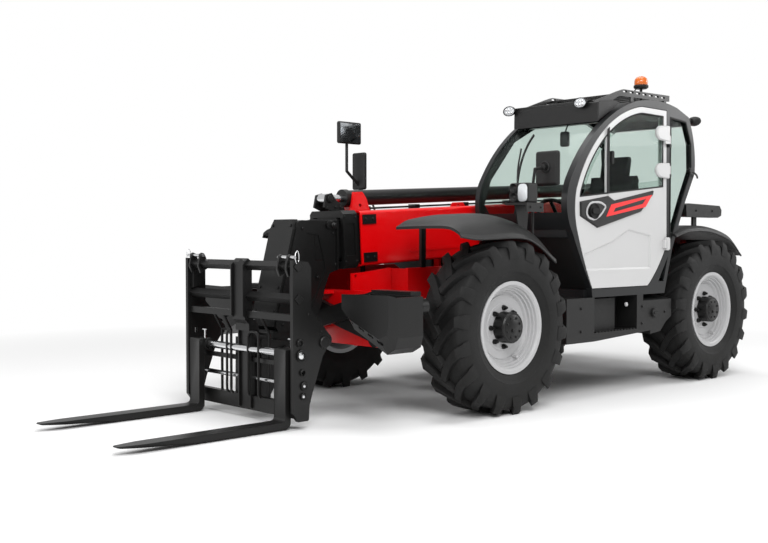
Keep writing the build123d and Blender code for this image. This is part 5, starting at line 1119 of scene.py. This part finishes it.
class HANDLER_OT_fittings(bpy.types.Operator):
    """Bolts, caps, lamps, mirror boss and cable, and the pins of the feet."""
    bl_idname = "handler.fittings"
    bl_label = "Fittings"

    def execute(self, context):
        rows = [((-0.330 + 0.030 * i, 1.088, 1.490), (0, 1, 0), 0.007) for i in (0, 4)]
        rows += [((x, 1.0805, z), (0, 1, 0), 0.009)
                 for x, z in ((-1.680, 0.700), (-1.680, 0.560), (-2.020, 0.640), (-0.840, 0.540),
                              (-0.840, 0.720))]
        rows += [((-3.3725 + 0.02, y, z), (-1, 0, 0), 0.016) for y in (-0.36, -0.12, 0.10, 0.34)
                 for z in (0.72, 1.16)]
        rows += [((x, 0.996, 1.510), (0, 1, 0), 0.008) for x in (-2.660, -2.940)]
        piece("frame_bolts", studs(rows), "black_paint", "chassis")
        filler = lathe(capped((0.0, 0.040), (0.016, 0.040), (0.024, 0.034)), (-1.850, 1.078, 0.640),
                       (0, 1, 0), 40)
        grip = block((-1.882, 1.098, 0.633), (-1.818, 1.112, 0.647))
        piece("tank_cap", [filler, grip], "black_plastic", "chassis")
        cup = ((0.0, CORE), (0.001, 0.012), (0.003, 0.020), (0.006, 0.0265), (0.010, 0.0305), (0.010, 0.0345),
               (0.0, 0.0345))
        eyes = [lathe(cup, (EYE_X, y, z), (1, 0, 0), 36, False) for y, z in EYE_ROWS]
        piece("lamp_cups", eyes, "black_paint", "chassis", 40.0)
        hoop = ((0.0, 0.0305), (0.012, 0.0305), (0.014, 0.033), (0.012, 0.0365), (0.0, 0.0365))
        hoops = [lathe(hoop, (EYE_X, y, z), (1, 0, 0), 36) for y, z in EYE_ROWS]
        piece("lamp_rims", hoops, "black_plastic", "chassis", 40.0)
        cans, panes, dots = [], [], []
        can = ((-0.062, 0.0005), (-0.060, 0.45), (-0.050, 0.62), (-0.015, 0.95), (-0.004, 1.0), (0.004, 1.0),
               (0.006, 0.965), (0.004, 0.90), (-0.006, 0.87), (-0.006, 0.0005))
        pane = ((-0.0055, 0.0005), (-0.0055, 0.86), (0.001, 0.86), (0.006, 0.70), (0.008, 0.40),
                (0.009, 0.0005))
        for x, y, z, facing in ((-1.078, 0.150, 2.337, 1), (-1.078, 0.880, 2.339, 1),
                                (-2.535, 1.040, 2.290, -1)):
            cans.append(oval(can, (x, y, z), facing, 0.064, 0.042))
            panes.append(oval(pane, (x, y, z), facing, 0.064, 0.042))
            for i in (-1, 0, 1):
                for k in (-1, 1):
                    dots.append(lathe(((0.0, 0.010), (0.003, 0.009), (0.005, 0.005), (0.0055, CORE),
                                       (0.0, CORE)), (x + facing * 0.006, y + 0.028 * i,
                                                        z + 0.0135 * k), (facing, 0, 0), 16))
        cans.append(tube_along([(-2.480, 1.040, 2.290), (-2.420, 1.040, 2.296), (-2.360, 1.035, 2.306),
                                (-2.310, 1.020, 2.312)], 0.011, 5))
        piece("lamp_cans", cans, "black_plastic", "chassis", 40.0, ("work_lamps",))
        for s in (1, -1):
            panes.append(plate(rounded(0.084, 0.130, 0.028), (-0.2055, s * 1.0215, 1.595), *AHEAD, 0.014,
                               0.004))
        piece("lamp_panes", panes, "lamp_plastic", "chassis", 50.0, ("lamp_lenses",))
        piece("lamp_dots", dots, "chrome_rod", "chassis", 50.0)
        dome = ((0.0, CORE), (0.0, 0.029), (0.006, 0.026), (0.010, 0.014), (0.011, CORE))
        bulls = [lathe(dome, (-0.206, y, z), (1, 0, 0), 32) for y, z in EYE_ROWS]
        piece("head_lamp_eyes", bulls, "black_paint", "chassis", 50.0)
        boss = lathe(((0.0, CORE), (0.0, 0.045), (0.009, 0.045), (0.013, 0.041), (0.013, 0.034),
                      (0.008, 0.030), (0.008, CORE)), (-0.484, 1.005, 1.795), (1, 0, 0), 36)
        piece("mirror_boss", [boss], "black_plastic", "chassis")
        button = lathe(((0.0, CORE), (0.0, 0.017), (0.010, 0.017), (0.015, 0.010), (0.015, CORE)),
                       (-1.442, 1.078, 0.728), (0, 1, 0), 28)
        piece("side_button", [button], "rim_paint", "chassis")
        cable = [(-0.400, -0.975, 1.700), (-0.455, -0.960, 1.640), (-0.500, -0.930, 1.560),
                 (-0.500, -0.900, 1.480), (-0.450, -0.880, 1.420)]
        piece("mirror_cable", [tube_along(cable, 0.009, 8)], "tyre_rubber", "chassis")
        for side, name in ((1, "foot_left"), (-1, "foot_right")):
            boss = lathe(((0.0, 0.0285), (0.006, 0.0285), (0.012, 0.034), (0.012, 0.044), (0.008, 0.048),
                          (0.0, 0.048)), (1.154, side * 1.000, 0.810), (1, 0, 0), 40)
            cap = lathe(capped((0.0, 0.027), (0.008, 0.027), (0.011, 0.022)),
                        (1.150, side * 1.000, 0.810), (1, 0, 0), 40)
            piece("boss_" + name, [boss], "rim_paint", name)
            piece("pin_" + name, [cap], "black_paint", "stabiliser_" + name.split("_")[1])
        return {"FINISHED"}


# --------------------------------------------------------------------- panel
STEPS = (
    "stage", "finishes", "tyres", "hubs", "forks", "fenders", "boom", "carriage", "cab", "door", "fittings",
)


class HANDLER_PT_panel(bpy.types.Panel):
    """Lists the pieces that can be made."""
    bl_idname = "HANDLER_PT_panel"
    bl_label = "Telescopic handler"
    bl_space_type = "VIEW_3D"
    bl_region_type = "UI"
    bl_category = "Handler"

    def draw(self, context):
        for step in STEPS:
            self.layout.operator("handler." + step)


CLASSES = (
    HandlerColours, HandlerSizes, HANDLER_OT_stage, HANDLER_OT_finishes, HANDLER_OT_tyres, HANDLER_OT_hubs,
    HANDLER_OT_forks, HANDLER_OT_fenders, HANDLER_OT_boom, HANDLER_OT_carriage, HANDLER_OT_cab,
    HANDLER_OT_door,
    HANDLER_OT_fittings, HANDLER_PT_panel,
)


def register():
    """Registers the classes and hangs the settings on the scene."""
    for c in CLASSES:
        bpy.utils.register_class(c)
    bpy.types.Scene.handler_colours = bpy.props.PointerProperty(type=HandlerColours)
    bpy.types.Scene.handler_sizes = bpy.props.PointerProperty(type=HandlerSizes)


def unregister():
    """Takes the settings and the classes away again."""
    del bpy.types.Scene.handler_sizes
    del bpy.types.Scene.handler_colours
    for c in reversed(CLASSES):
        bpy.utils.unregister_class(c)


def main():
    """Makes every piece in order."""
    register()
    for step in STEPS:
        getattr(bpy.ops.handler, step)()


if __name__ == "__main__":
    main()
